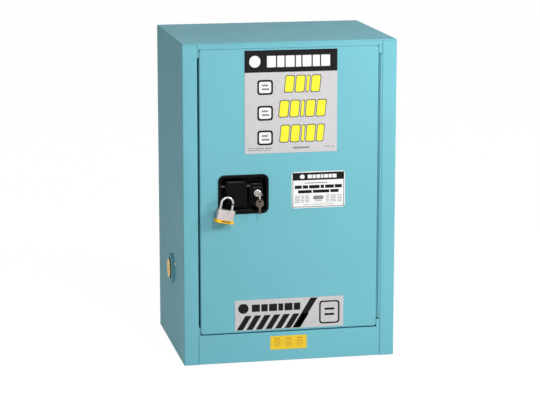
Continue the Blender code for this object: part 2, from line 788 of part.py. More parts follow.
def make_shelf(front, back):
    middle = (front + back) / 2
    near = front + SHELF_SPACE
    far = back - SHELF_SPACE
    top = SHELF_Z + SHEET
    path = [(far, top - SHELF_FLANGE), (far, top), (near, top), (near, top - SHELF_FLANGE)]
    half = INNER_HALF - SHELF_END_SPACE
    add_pivot("shelf_axis", (0, middle, SHELF_Z), "cabinet")
    make("shelf", "blue paint", [prism(folded(path), -half, half, across_x)], "shelf_axis")
    add_pivot("shelf_tray_axis", (0, middle, top), "shelf_axis")
    tray = inset_rings(
        2 * (half - TRAY_SPACE),
        far - near - 2 * TRAY_SPACE,
        TRAY_CORNER,
        shifted(pan_stations(SHELF_TRAY_HEIGHT, TRAY_WALL, TRAY_ROUND), top + GAP, 1),
        (0, middle),
        across_z,
    )
    make("shelf_tray", "white plastic", [tray], "shelf_tray_axis")


def make_sump_tray(front, back):
    bottom = INNER_LOW + SHEET + GAP
    width = 2 * (INNER_HALF - GAP - SHEET - TRAY_SPACE)
    depth = back - front - 2 * (SHEET + TRAY_SPACE)
    add_pivot("sump_tray_axis", (0, (front + back) / 2, bottom), "cabinet")
    tray = inset_rings(
        width,
        depth,
        TRAY_CORNER,
        shifted(pan_stations(SUMP_TRAY_HEIGHT, TRAY_WALL, TRAY_ROUND), bottom, 1),
        (0, (front + back) / 2),
        across_z,
    )
    make("sump_tray", "white plastic", [tray], "sump_tray_axis")


def make_vents(sides, walls):
    """A bushing through both walls on each side, with a screen at its inner end and a plug outside."""
    tube_radius = BORE_RADIUS + BORE_WALL
    through = WALL_IN + SHEET + OVERRUN
    for name, side, z, panel, wall in (
        ("left", -1, LEFT_VENT_Z, sides[0], walls[0]),
        ("right", 1, HEIGHT - RIGHT_VENT_DROP, sides[1], walls[1]),
    ):
        centre = (VENT_BACK, z)
        hole_ends = (side * (HALF - through - OVERRUN), side * (HALF + OVERRUN))
        hole = [(tube_radius + GAP, x) for x in hole_ends]
        cut([panel, wall], name + "_vent_cutter", [turned(hole, centre, across_x)])
        face = HALF + COLLAR_PROUD
        inner_end = INNER_HALF - OVERRUN
        ledge_top = inner_end + SCREEN_SHEET + 2 * GAP + BORE_LEDGE / 2
        profile = [
            (BORE_RADIUS, face),
            (COLLAR_RADIUS - COLLAR_ROUND, face),
            (COLLAR_RADIUS, face - COLLAR_ROUND),
            (COLLAR_RADIUS, HALF + GAP),
            (tube_radius, HALF + GAP),
            (tube_radius, inner_end),
            (BORE_RADIUS, inner_end),
            (BORE_RADIUS, ledge_top - BORE_LEDGE / 2),
            (BORE_RADIUS - BORE_LEDGE, ledge_top - BORE_LEDGE / 2),
            (BORE_RADIUS - BORE_LEDGE, ledge_top),
            (BORE_RADIUS, ledge_top),
        ]
        fitting = [(radius, side * x) for radius, x in profile]
        make(name + "_vent_bushing", "blue paint", [turned(fitting, centre, across_x, closed=True)])
        screen = (side * (inner_end + GAP), side * (inner_end + GAP + SCREEN_SHEET))
        disc = rod(centre, BORE_RADIUS - GAP, *screen, across_x, ROUND_SIDES)
        make(name + "_flame_screen", "zinc steel", [disc])
        make_vent_plug(name, side, centre, face + VENT_PLUG_PROUD)


def make_vent_plug(name, side, centre, front):
    """A screw plug whose narrower cap stands out of the bore, dished round a boss to turn it by."""
    add_pivot(name + "_plug_axis", (side * front, *centre), "cabinet")
    radius = BORE_RADIUS - GAP
    profile = [
        (radius, side * (front - VENT_PLUG_LENGTH)),
        (radius, side * (front - VENT_CAP_LENGTH)),
        (VENT_CAP_RADIUS, side * (front - VENT_CAP_LENGTH)),
        (VENT_CAP_RADIUS, side * front),
        (VENT_CAP_RADIUS - PLUG_LIP, side * front),
        (VENT_CAP_RADIUS - PLUG_LIP, side * (front - PLUG_DISH)),
        (PLUG_BOSS, side * (front - PLUG_DISH)),
        (PLUG_BOSS, side * front),
    ]
    make(name + "_vent_plug", "gold zinc", [turned(profile, centre, across_x)], name + "_plug_axis")


def make_ground_screw():
    centre = (GROUND_BACK, GROUND_Z)
    surface = -HALF - GAP
    profile = [
        (WASHER_RADIUS, surface),
        (WASHER_RADIUS, surface - WASHER_SHEET),
        (GROUND_RADIUS, surface - WASHER_SHEET),
        (GROUND_RADIUS, surface - WASHER_SHEET - GROUND_HEAD),
    ]
    make("ground_screw", "zinc steel", [turned(profile, centre, across_x, HEX_SIDES)])


def make_door():
    skin = make(
        "door_skin",
        "blue paint",
        [
            inset_rings(
                DOOR_RIGHT - DOOR_LEFT,
                DOOR_HIGH - DOOR_LOW,
                DOOR_CORNER,
                pan_stations(DOOR_RETURN, SHEET, BEND),
                (DOOR_MID_X, DOOR_MID_Z),
                across_y,
            )
        ],
        "door_axis",
    )
    cup_hole_inset = CUP_RIM - CUP_WALL - 2 * GAP
    hole_width = CUP_WIDTH - 2 * cup_hole_inset
    hole_height = CUP_HEIGHT - 2 * cup_hole_inset
    hole = moved(rounded_rect(hole_width, hole_height, CUP_CORNER - cup_hole_inset), CUP_X, CUP_Z)
    cut([skin], "cup_hole_cutter", [prism(hole, -OVERRUN, DOOR_RETURN, across_y)], "door_axis")
    liner_front = SHEET + GAP
    liner = make(
        "door_liner",
        "blue paint",
        [
            inset_rings(
                DOOR_RIGHT - DOOR_LEFT - 2 * LINER_INSET,
                DOOR_HIGH - DOOR_LOW - 2 * LINER_INSET,
                LINER_CORNER,
                shifted(pan_stations(DOOR_DEPTH - liner_front, SHEET, BEND), DOOR_DEPTH, -1),
                (DOOR_MID_X, DOOR_MID_Z),
                across_y,
            )
        ],
        "door_axis",
    )
    return skin, liner


def knuckle_cutter(parity):
    """Boxes that clear every other knuckle's length, starting with the first or the second."""
    reach = BARREL_RADIUS + KNUCKLE_SPACE
    boxes = []
    for index in range(parity, KNUCKLE_COUNT, 2):
        low = HINGE_LOW + index * KNUCKLE_PITCH - GAP / 2
        if index == 0:
            low -= OVERRUN
        high = HINGE_LOW + (index + 1) * KNUCKLE_PITCH + GAP / 2
        if index == KNUCKLE_COUNT - 1:
            high += OVERRUN
        boxes.append(box((HINGE_X - reach, HINGE_Y - reach, low), (HINGE_X + reach, HINGE_Y + reach, high)))
    return boxes


def curled(path, start):
    """A leaf whose sheet ends curled round the pin, from the angle start."""
    near, far = folded_sides(path, LEAF_SHEET, BEND - SHEET)
    centre = (HINGE_X, HINGE_Y)
    near = near[:-1] + arc(centre, BARREL_RADIUS - LEAF_SHEET, start, -CURL_TURN, CURL_STEPS)
    far = far[:-1] + arc(centre, BARREL_RADIUS, start, -CURL_TURN, CURL_STEPS)
    return near + far[::-1]


def make_hinge():
    """Two leaves whose knuckles take turns along one pin."""
    inner = BARREL_RADIUS - LEAF_SHEET
    frame_path = [
        (HINGE_X + inner, HINGE_Y + BARREL_RADIUS + LEAF_WIDTH),
        (HINGE_X + inner, HINGE_Y),
    ]
    door_face = DOOR_RIGHT + GAP
    door_path = [
        (door_face, LEAF_WIDTH),
        (door_face, HINGE_Y + inner),
        (HINGE_X, HINGE_Y + inner),
    ]
    frame_leaf = make(
        "hinge_frame_leaf", "blue paint", [prism(curled(frame_path, 0), HINGE_LOW, HINGE_HIGH, across_z)]
    )
    door_leaf = make(
        "hinge_door_leaf",
        "blue paint",
        [prism(curled(door_path, QUARTER), HINGE_LOW, HINGE_HIGH, across_z)],
        "door_axis",
    )
    cut([frame_leaf], "frame_knuckle_cutter", knuckle_cutter(1))
    cut([door_leaf], "door_knuckle_cutter", knuckle_cutter(0), "door_axis")
    make(
        "hinge_pin",
        "zinc steel",
        [rod((HINGE_X, HINGE_Y), inner - GAP, HINGE_LOW, HINGE_HIGH, across_z, FINE_SIDES)],
    )


def lock_bore(low, high):
    return rod((LOCK_X, LOCK_Z), LOCK_BODY_RADIUS + GAP, low, high, across_y, ROUND_SIDES)


def make_cup():
    """A dished escutcheon with a rounded rim proud of the door, and the finger recess inside it."""
    floor_out = CUP_DEPTH + CUP_WALL
    wall_out = CUP_RIM - CUP_WALL
    stations = [
        (wall_out + CUP_DRAFT, floor_out),
        (wall_out, -GAP),
        (0, -GAP),
        (0, -CUP_PROUD + CUP_ROUND),
        (CUP_ROUND, -CUP_PROUD),
        (CUP_RIM - CUP_ROUND, -CUP_PROUD),
        (CUP_RIM, -CUP_PROUD + CUP_ROUND),
        (CUP_RIM + CUP_DRAFT, CUP_DEPTH),
    ]
    centre = (CUP_X, CUP_Z)
    dish = inset_rings(CUP_WIDTH, CUP_HEIGHT, CUP_CORNER, stations, centre, across_y, CUP_CORNER_STEPS)
    cup = make("handle_cup", "black plastic", [dish], "door_axis")
    cut(
        [cup],
        "cup_bore_cutter",
        [
            lock_bore(CUP_DEPTH - OVERRUN, floor_out + OVERRUN),
            rod((PIN_Y, PIN_Z), PIN_RADIUS + GAP, CUP_LEFT - OVERRUN, PADDLE_X, across_x),
        ],
        "door_axis",
    )


def make_paddle():
    front = PADDLE_SUNK
    left_end = ROTOR_X + ROTOR_ARM - ARM_SHEET / 2
    right_end = HOUSING_X - HOUSING_WIDTH / 2 + CUP_WALL
    paddle = make(
        "paddle",
        "black plastic",
        [
            inset_rings(
                PADDLE_WIDTH,
                PADDLE_HEIGHT,
                PADDLE_CORNER,
                shifted(pan_stations(PADDLE_DEPTH, PADDLE_WALL, PADDLE_ROUND), front, 1),
                (PADDLE_X, PADDLE_Z),
                across_y,
            )
        ],
        "paddle_axis",
    )
    half = PADDLE_WIDTH / 2 + OVERRUN
    bore = rod((PIN_Y, PIN_Z), PIN_RADIUS + GAP, PADDLE_X - half, PADDLE_X + half, across_x)
    cut([paddle], "paddle_bore_cutter", [bore], "paddle_axis")
    pin = rod((PIN_Y, PIN_Z), PIN_RADIUS, left_end + ARM_SHEET / 2, right_end, across_x)
    shaft = make("paddle_pin", "zinc steel", [pin], "paddle_axis")
    weld_drive_arm(shaft, left_end)
    make_lug(front)
    make_spring()


def make_lug(front):
    """A bent steel tab on the paddle's face, with a slot that the shackle passes down through."""
    face = front - GAP
    tip = front - SHACKLE_OUT - LUG_WIDTH / 2
    under = LUG_Z - LUG_SHEET / 2
    path = [(tip, under), (face, under), (face, under + LUG_FOOT)]
    outline = folded(path, LUG_SHEET, LUG_SHEET + BEND)
    low = LUG_X - LUG_WIDTH / 2
    lug = make("padlock_lug", "black paint", [prism(outline, low, low + LUG_WIDTH, across_x)], "paddle_axis")
    across = SHACKLE_RADIUS + GAP + LUG_SHEET * math.sin(PADLOCK_TILT) * math.sin(PADLOCK_TURN)
    slot = rounded_rect(2 * LUG_SLOT_HALF, 2 * across, across)
    centre_y = front - SHACKLE_OUT
    cut(
        [lug],
        "lug_slot_cutter",
        [prism(moved(slot, LUG_X, centre_y), LUG_Z - LUG_SHEET, LUG_Z + LUG_SHEET, across_z)],
        "paddle_axis",
    )


def weld_drive_arm(shaft, left_end):
    """On the paddle's pin outside the cup, it presses the rotor's right arm down."""
    low = left_end
    high = left_end + ARM_SHEET
    bottom = ROTOR_Z + ROTOR_HALF + GAP
    top = PIN_Z + ARM_HALF
    near = PIN_Y - ARM_HALF
    far = PIN_Y + ARM_REACH
    outline = [(near, bottom), (far, bottom), (far, PIN_Z), (PIN_Y + ARM_HALF, top), (near, top)]
    weld(shaft, "drive_arm", [prism(outline, low, high, across_x)], "paddle_axis")


def make_spring():
    """The paddle's return spring, wound on its pin between the arm and the cup."""
    radius = PIN_RADIUS + GAP + SPRING_WIRE
    left = ROTOR_X + ROTOR_ARM + ARM_SHEET / 2 + GAP + SPRING_WIRE
    _, place = PIVOTS["door_axis"]
    curve = bpy.data.curves.new("paddle_spring", "CURVE")
    curve.dimensions = "3D"
    curve.bevel_depth = SPRING_WIRE
    curve.bevel_resolution = 1
    curve.use_fill_caps = True
    spline = curve.splines.new("POLY")
    count = SPRING_TURNS * SPRING_STEPS + 1
    spline.points.add(count - 1)
    for index in range(count):
        turn = index / SPRING_STEPS
        angle = 2 * math.pi * turn
        y = PIN_Y + radius * math.cos(angle)
        z = PIN_Z + radius * math.sin(angle)
        point = Vector((left + SPRING_PITCH * turn, y, z))
        spline.points[index].co = (*(point - place), 1)
    obj = bpy.data.objects.new("paddle_spring", curve)
    obj.parent = PIVOTS["door_axis"][0]
    bpy.context.scene.collection.objects.link(obj)
    add_finish(obj, "zinc steel")


def make_lock():
    housing = make(
        "lock_housing",
        "black plastic",
        [
            inset_rings(
                HOUSING_WIDTH,
                HOUSING_HEIGHT,
                HOUSING_CORNER,
                [
                    (0, CUP_DEPTH - GAP),
                    (0, HOUSING_SUNK + HOUSING_ROUND),
                    (HOUSING_ROUND, HOUSING_SUNK),
                ],
                (HOUSING_X, HOUSING_Z),
                across_y,
            )
        ],
        "door_axis",
    )
    pin_end = HOUSING_X - HOUSING_WIDTH / 2 + CUP_WALL + GAP
    cut(
        [housing],
        "housing_bore_cutter",
        [
            lock_bore(HOUSING_SUNK - OVERRUN, CUP_DEPTH + OVERRUN),
            rod((PIN_Y, PIN_Z), PIN_RADIUS + GAP, PADDLE_X, pin_end, across_x),
        ],
        "door_axis",
    )
    collar_back = HOUSING_SUNK - GAP
    collar_front = collar_back - LOCK_COLLAR
    body_back = CUP_DEPTH + CUP_WALL
    centre = (LOCK_X, LOCK_Z)
    bore = PLUG_RADIUS + GAP
    cylinder = [
        (bore, collar_front),
        (LOCK_COLLAR_RADIUS - HOUSING_ROUND, collar_front),
        (LOCK_COLLAR_RADIUS, collar_front + HOUSING_ROUND),
        (LOCK_COLLAR_RADIUS, collar_back),
        (LOCK_BODY_RADIUS, collar_back),
        (LOCK_BODY_RADIUS, body_back),
        (bore, body_back),
    ]
    make("lock_cylinder", "chrome", [turned(cylinder, centre, across_y, closed=True)], "door_axis")
    plug_back = body_back + GAP + CAM_SHEET / 2
    plug = make(
        "lock_plug",
        "chrome",
        [rod(centre, PLUG_RADIUS, collar_front - PLUG_PROUD, plug_back, across_y, ROUND_SIDES)],
        "lock_axis",
    )
    half_sheet = KEY_SHEET / 2 + GAP
    half_blade = KEY_BLADE_WIDTH / 2 + GAP
    keyway_end = key_shoulder() + KEY_IN_PLUG + 2 * GAP
    cut(
        [plug],
        "keyway_cutter",
        [
            box(
                (LOCK_X - half_blade, collar_front - PLUG_PROUD - OVERRUN, LOCK_Z - half_sheet),
                (LOCK_X + half_blade, keyway_end, LOCK_Z + half_sheet),
            )
        ],
        "lock_axis",
    )
    cam_front = body_back + GAP
    cam_z = LOCK_Z - CAM_LENGTH / 2 + CAM_WIDTH / 2
    cam = moved(rounded_rect(CAM_WIDTH, CAM_LENGTH, CAM_WIDTH / 2), LOCK_X, cam_z)
    weld(plug, "lock_cam", [prism(cam, cam_front, cam_front + CAM_SHEET, across_y)], "lock_axis")


def key_shoulder():
    """How far back the inserted part of the key starts: at the plug's face."""
    return HOUSING_SUNK - GAP - LOCK_COLLAR - PLUG_PROUD


def key_bow_y():
    blade_out = KEY_BLADE_LENGTH - KEY_IN_PLUG
    return key_shoulder() - blade_out - KEY_BOW_RADIUS


def key_hole_y():
    return key_bow_y() - KEY_HOLE_OUT


def key_strip_y():
    """Middle of the strip of the bow in front of its hole, which the ring goes round and turns about."""
    bow_front = key_bow_y() - KEY_BOW_RADIUS
    return (bow_front + key_hole_y() - KEY_HOLE_RADIUS) / 2


def ring_top():
    """Height of the ring's wire over the first key."""
    return LOCK_Z + KEY_SHEET / 2 + RING_REST + RING_WIRE


def key_outline():
    """A round bow with a blade towards +u, from the bow's centre."""
    half = KEY_BLADE_WIDTH / 2
    start = math.asin(half / KEY_BOW_RADIUS)
    bow = arc((0, 0), KEY_BOW_RADIUS, start, 2 * (math.pi - start), ROUND_SIDES)
    end = KEY_BOW_RADIUS + KEY_BLADE_LENGTH
    return bow + [(end - half, -half), (end, 0), (end - half, half)]


def make_keys():
    """One key lies flat in the lock, and a second hangs from its ring, face on."""
    bow_y = key_bow_y()
    low = LOCK_Z - KEY_SHEET / 2
    flat = [(LOCK_X + v, bow_y + u) for u, v in key_outline()]
    key = make("key", "nickel", [prism(flat, low, low + KEY_SHEET, across_z)], "lock_axis")
    hole = rod((LOCK_X, key_hole_y()), KEY_HOLE_RADIUS, low - OVERRUN, low + KEY_SHEET + OVERRUN, across_z)
    cut([key], "key_hole_cutter", [hole], "lock_axis")
    top = Vector((LOCK_X, key_strip_y() - RING_FORWARD, ring_top()))
    across = Vector((0, 1, 0))
    up = Vector((0, 0, 1))
    centre = top - up * RING_RADIUS
    path = [centre + across * u + up * v for u, v in circle((0, 0), RING_RADIUS, RING_STEPS)]
    normal = across.cross(up)
    ring = lambda bm: add_planar_tube(bm, path, RING_WIRE, normal, HEX_SIDES, closed=True)
    make("key_ring", "nickel", [ring], "ring_axis")
    spare_hole_z = top.z - 2 * RING_RADIUS - KEY_HOLE_RADIUS + RING_WIRE + RING_REST
    bow_z = spare_hole_z - KEY_HOLE_OUT
    hung = [(LOCK_X + v, bow_z - u) for u, v in key_outline()]
    near = top.y - KEY_SHEET / 2
    far = near + KEY_SHEET
    spare = make("spare_key", "nickel", [prism(hung, near, far, across_y)], "ring_axis")
    hole_at = (LOCK_X, spare_hole_z)
    spare_hole = rod(hole_at, KEY_HOLE_RADIUS, near - OVERRUN, far + OVERRUN, across_y)
    cut([spare], "spare_hole_cutter", [spare_hole], "ring_axis")


def hung_padlock(shape):
    """Turns and tilts a shape about the padlock's axis, and puts it there."""
    _, place = PIVOTS["padlock_axis"]
    turn = Matrix.Rotation(PADLOCK_TURN, 4, "Z") @ Matrix.Rotation(PADLOCK_TILT, 4, "Y")
    matrix = Matrix.Translation(place) @ turn

    def add(bm):
        part = bmesh.new()
        shape(part)
        bmesh.ops.transform(part, matrix=matrix, verts=part.verts)
        mesh = bpy.data.meshes.new("part")
        part.to_mesh(mesh)
        part.free()
        bm.from_mesh(mesh)
        bpy.data.meshes.remove(mesh)

    return add


def make_padlock():
    """Laid out from the top of the shackle's right leg, then turned and tilted as it hangs."""
    bow = SHACKLE_SPAN / 2
    end = -SHACKLE_SHOW - SHACKLE_IN
    path = [Vector((0, 0, end))]
    path += [Vector((u, 0, v)) for u, v in arc((-bow, 0), bow, 0, math.pi, SHACKLE_STEPS)]
    path.append(Vector((-SHACKLE_SPAN, 0, end)))
    sides = Vector((0, 1, 0))
    shackle = hung_padlock(lambda bm: add_planar_tube(bm, path, SHACKLE_RADIUS, sides, SMALL_SIDES))
    make("padlock_shackle", "chrome", [shackle], "padlock_axis")
    top = -SHACKLE_SHOW
    bottom = top - LOCK_BODY_HEIGHT
    pitch = LOCK_BODY_HEIGHT / LAMINATIONS
    stations = [(LAMINATION_GROOVE, top)]
    for index in range(LAMINATIONS):
        high = top - index * pitch
        stations += [(0, high - LAMINATION_GROOVE), (0, high - pitch + LAMINATION_GROOVE)]
        stations.append((LAMINATION_GROOVE, high - pitch))
    body_shape = inset_rings(
        LOCK_BODY_WIDTH, LOCK_BODY_THICK, LOCK_BODY_CORNER, stations, (-bow, 0), across_z
    )
    body = make("padlock_body", "case steel", [hung_padlock(body_shape)], "padlock_case_axis")
    leg_hole = SHACKLE_RADIUS + GAP
    hole_end = top - SHACKLE_IN - GAP
    legs = [
        hung_padlock(rod((u, 0), leg_hole, hole_end, top + OVERRUN, across_z)) for u in (0, -SHACKLE_SPAN)
    ]
    cut([body], "leg_hole_cutter", legs, "padlock_case_axis")
    bumper_top = bottom - GAP
    bumper_shape = inset_rings(
        LOCK_BODY_WIDTH + 2 * BUMPER_PROUD,
        LOCK_BODY_THICK + 2 * BUMPER_PROUD,
        BUMPER_CORNER,
        [
            (BUMPER_PROUD, bumper_top),
            (0, bumper_top - BUMPER_PROUD),
            (0, bumper_top - BUMPER_HEIGHT + BUMPER_PROUD),
            (BUMPER_PROUD, bumper_top - BUMPER_HEIGHT),
        ],
        (-bow, 0),
        across_z,
    )
    bumper = make("padlock_bumper", "yellow plastic", [hung_padlock(bumper_shape)], "padlock_case_axis")
    bumper_low = bumper_top - BUMPER_HEIGHT
    recess = rod((-bow, 0), KEYWAY_RADIUS, bumper_low - OVERRUN, bumper_low + KEYWAY_DEPTH, across_z)
    cut([bumper], "padlock_recess_cutter", [hung_padlock(recess)], "padlock_case_axis")


def pin_places():
    """Where the rotor carries the upper rod, the lower rod and the side bolt."""
    return (
        (ROTOR_X + ROTOR_ARM, ROTOR_Z),
        (ROTOR_X - ROTOR_ARM, ROTOR_Z),
        (ROTOR_X, ROTOR_Z + ROTOR_ARM),
    )


def make_rotor():
    """A tee-shaped plate on a post, with three pins at its back that move the rods."""
    r, h = ROTOR_REACH, ROTOR_HALF
    outline = [(r, -h), (r, h), (h, h), (h, r), (-h, r), (-h, h), (-r, h), (-r, -h)]
    plate_back = ROTOR_BACK + ROTOR_SHEET
    plate = prism(moved(outline, ROTOR_X, ROTOR_Z), ROTOR_BACK, plate_back, across_y)
    rotor = make("latch_rotor", "zinc steel", [plate], "rotor_axis")
    pin_root = plate_back - ROTOR_SHEET / 2
    pins = [rod(at, ROD_PIN_RADIUS, pin_root, ROD_BACK + GAP, across_y, FINE_SIDES) for at in pin_places()]
    weld(rotor, "rotor_pins", pins, "rotor_axis")
    hole = rod((ROTOR_X, ROTOR_Z), POST_RADIUS + GAP, ROTOR_BACK - OVERRUN, plate_back + OVERRUN, across_y)
    cut([rotor], "rotor_bore_cutter", [hole], "rotor_axis")
    post_face = LINER_FACE - GAP
    post = [
        (POST_RADIUS + OVERRUN, ROTOR_BACK - GAP - OVERRUN),
        (POST_RADIUS + OVERRUN, ROTOR_BACK - GAP),
        (POST_RADIUS, ROTOR_BACK - GAP),
        (POST_RADIUS, post_face),
    ]
    make("rotor_post", "zinc steel", [turned(post, (ROTOR_X, ROTOR_Z), across_y, SMALL_SIDES)], "door_axis")


def make_rods(liner):
    """Upper and lower rods and the side bolt, each with an eye round its pin on the rotor."""
    upper_at, lower_at, bolt_at = pin_places()
    wall = ROD_HOLE + LUG_WALL
    upper_eye = [
        (upper_at[0] - ROD_PIN_DRIFT - wall, upper_at[1] - wall),
        (upper_at[0] + ROD_WIDTH, upper_at[1] - wall),
        (upper_at[0] + ROD_WIDTH, DOOR_HIGH - ROD_SHORT),
        (upper_at[0], DOOR_HIGH - ROD_SHORT),
        (upper_at[0], upper_at[1] + wall),
        (upper_at[0] - ROD_PIN_DRIFT - wall, upper_at[1] + wall),
    ]
    lower_eye = [
        (lower_at[0] + ROD_PIN_DRIFT + wall, lower_at[1] + wall),
        (lower_at[0] - ROD_WIDTH, lower_at[1] + wall),
        (lower_at[0] - ROD_WIDTH, DOOR_LOW + ROD_SHORT),
        (lower_at[0], DOOR_LOW + ROD_SHORT),
        (lower_at[0], lower_at[1] - wall),
        (lower_at[0] + ROD_PIN_DRIFT + wall, lower_at[1] - wall),
    ]
    bolt_eye = [
        (bolt_at[0] + wall, bolt_at[1] - ROD_PIN_DRIFT - wall),
        (bolt_at[0] + wall, bolt_at[1] + ROD_WIDTH),
        (DOOR_LEFT + ROD_SHORT, bolt_at[1] + ROD_WIDTH),
        (DOOR_LEFT + ROD_SHORT, bolt_at[1]),
        (bolt_at[0] - wall, bolt_at[1]),
        (bolt_at[0] - wall, bolt_at[1] - ROD_PIN_DRIFT - wall),
    ]
    slots = (
        (-ROD_HOLE - ROD_PIN_DRIFT, ROD_HOLE, -ROD_HOLE, ROD_HOLE),
        (-ROD_HOLE, ROD_HOLE + ROD_PIN_DRIFT, -ROD_HOLE, ROD_HOLE),
        (-ROD_HOLE, ROD_HOLE, -ROD_HOLE - ROD_PIN_DRIFT, ROD_HOLE),
    )
    names = ("upper_rod", "lower_rod", "side_bolt")
    for name, outline, at, slot in zip(names, (upper_eye, lower_eye, bolt_eye), pin_places(), slots):
        add_pivot(name + "_axis", (at[0], ROD_FRONT, at[1]), "door_axis")
        piece = make(name, "zinc steel", [prism(outline, ROD_FRONT, ROD_BACK, across_y)], name + "_axis")
        hole = box(
            (at[0] + slot[0], ROD_FRONT - OVERRUN, at[1] + slot[2]),
            (at[0] + slot[1], ROD_BACK + OVERRUN, at[1] + slot[3]),
        )
        cut([piece], name + "_slot_cutter", [hole], name + "_axis")
    make_rod_ways(liner, upper_at, lower_at, bolt_at)


def make_rod_ways(liner, upper_at, lower_at, bolt_at):
    """Slots where the rods leave the door's liner, and the guides fixed beside them."""
    side = GAP
    front = ROD_FRONT - GAP
    back = ROD_BACK + GAP
    upper = (upper_at[0] - side, upper_at[0] + ROD_WIDTH + side)
    lower = (lower_at[0] - ROD_WIDTH - side, lower_at[0] + side)
    bolt = (bolt_at[1] - side, bolt_at[1] + ROD_WIDTH + side)
    cut(
        [liner],
        "rod_way_cutter",
        [
            box((upper[0], front, LINER_HIGH - LINER_CORNER), (upper[1], back, LINER_HIGH + OVERRUN)),
            box((lower[0], front, LINER_LOW - OVERRUN), (lower[1], back, LINER_LOW + LINER_CORNER)),
            box((LINER_LEFT - OVERRUN, front, bolt[0]), (LINER_LEFT + LINER_CORNER, back, bolt[1])),
        ],
        "door_axis",
    )
    far = LINER_FACE - GAP
    for name, ends, z in (
        ("upper_rod_guide", upper, (ROTOR_Z + LINER_HIGH) / 2),
        ("lower_rod_guide", lower, (ROTOR_Z + LINER_LOW) / 2),
    ):
        outline = [
            (ends[0] - GUIDE_WALL, far),
            (ends[0] - GUIDE_WALL, front - GUIDE_WALL),
            (ends[1] + GUIDE_WALL, front - GUIDE_WALL),
            (ends[1] + GUIDE_WALL, far),
            (ends[1], far),
            (ends[1], front),
            (ends[0], front),
            (ends[0], far),
        ]
        make(name, "zinc steel", [prism(outline, z, z + GUIDE_HEIGHT, across_z)], "door_axis")


def cut_strikes(sides, rails):
    """Slots in the frame opposite the rods."""
    upper_at, lower_at, bolt_at = pin_places()
    upper_x = upper_at[0] + ROD_WIDTH / 2
    lower_x = lower_at[0] - ROD_WIDTH / 2
    bolt_z = bolt_at[1] + ROD_WIDTH / 2
    middle = (ROD_FRONT + ROD_BACK) / 2
    half_slot = STRIKE_SLOT / 2
    half_deep = STRIKE_SLOT_DEPTH / 2
    reach = SHEET + OVERRUN
    slots = [
        box((upper_x - half_slot, middle - half_deep, OPENING_HIGH - OVERRUN),
            (upper_x + half_slot, middle + half_deep, OPENING_HIGH + reach)),
        box((lower_x - half_slot, middle - half_deep, OPENING_LOW - reach),
            (lower_x + half_slot, middle + half_deep, OPENING_LOW + OVERRUN)),
        box((-OPENING_HALF - reach, middle - half_deep, bolt_z - half_slot),
            (-OPENING_HALF + OVERRUN, middle + half_deep, bolt_z + half_slot)),
    ]
    cut([sides[0], *rails], "strike_slot_cutter", slots)


def make_plates():
    """Thin plates stuck to the door and the sill."""

    def plate(size, at, corner):
        return prism(moved(rounded_rect(*size, corner), *at), -GAP - PLATE_SHEET, -GAP, across_y)

    for name, finish, shape, pivot in (
        ("door_top_plate", "grey plate", plate(UPPER_PLATE, UPPER_PLATE_AT, PLATE_CORNER), "door_axis"),
        ("door_side_plate", "white plate", plate(SIDE_PLATE, SIDE_PLATE_AT, SIDE_PLATE_CORNER), "door_axis"),
        ("door_low_plate", "grey plate", plate(LOWER_PLATE, LOWER_PLATE_AT, PLATE_CORNER), "door_axis"),
        ("sill_plate", "yellow plate", plate(SILL_PLATE, SILL_PLATE_AT, PLATE_CORNER), "cabinet"),
    ):
        make(name, finish, [shape], pivot)


def centre_on_origin():
    """Moves everything so that the middle of the base of the whole thing is at the origin."""
    front = min(point.y for point in REACH)
    back = max(point.y for point in REACH)
    left = min(point.x for point in REACH)
    right = max(point.x for point in REACH)
    low = min(point.z for point in REACH)
    PIVOTS["cabinet"][0].location = (-(left + right) / 2, -(front + back) / 2, -low)


def main():
    clear_scene()
    add_pivots()
    sides, rails = make_shell()
    make_feet()
    weld_ears(*rails)
    walls = make_compartment(sides)
    make_vents(sides, walls)
    make_ground_screw()
    _, liner = make_door()
    make_hinge()
    make_cup()
    make_paddle()
    make_lock()
    make_keys()
    make_padlock()
    make_rotor()
    make_rods(liner)
    cut_strikes(sides, rails)
    make_plates()
    centre_on_origin()


main()
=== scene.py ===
"""Looks of the compact safety cabinet: finishes, the fine shapes of its small pieces, light and camera.

Metres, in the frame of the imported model: +Z up, the door faces -Y. Pieces that replace a node are laid out
from that node's box, or from the joint that carries it.
"""

import json
import math

import bmesh
import bpy
from mathutils import Matrix, Vector


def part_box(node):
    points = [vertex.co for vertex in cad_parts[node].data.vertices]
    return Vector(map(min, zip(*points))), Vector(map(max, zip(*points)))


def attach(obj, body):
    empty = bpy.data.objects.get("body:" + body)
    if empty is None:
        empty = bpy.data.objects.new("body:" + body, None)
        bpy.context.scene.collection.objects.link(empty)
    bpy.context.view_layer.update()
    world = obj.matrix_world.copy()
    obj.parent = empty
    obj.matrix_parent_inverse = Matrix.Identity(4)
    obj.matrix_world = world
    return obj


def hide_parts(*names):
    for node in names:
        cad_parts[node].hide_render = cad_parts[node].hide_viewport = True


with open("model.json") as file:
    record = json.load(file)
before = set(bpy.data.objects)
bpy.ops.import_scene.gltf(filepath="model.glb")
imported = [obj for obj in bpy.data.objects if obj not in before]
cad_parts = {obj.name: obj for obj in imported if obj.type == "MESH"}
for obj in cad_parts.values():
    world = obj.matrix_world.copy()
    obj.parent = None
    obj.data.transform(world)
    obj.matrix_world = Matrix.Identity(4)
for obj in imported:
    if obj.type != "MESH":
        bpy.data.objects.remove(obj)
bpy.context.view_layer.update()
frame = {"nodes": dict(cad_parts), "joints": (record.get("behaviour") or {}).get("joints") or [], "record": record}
NODES = frame["nodes"]
JOINTS = {joint["name"]: joint for joint in frame["joints"]}
SUBPARTS = frame["record"]["subparts"]

MM = 0.001
DEGREE = math.pi / 180
QUARTER = math.pi / 2
GAP = 0.3 * MM
PIN_BORE = 2.9 * MM

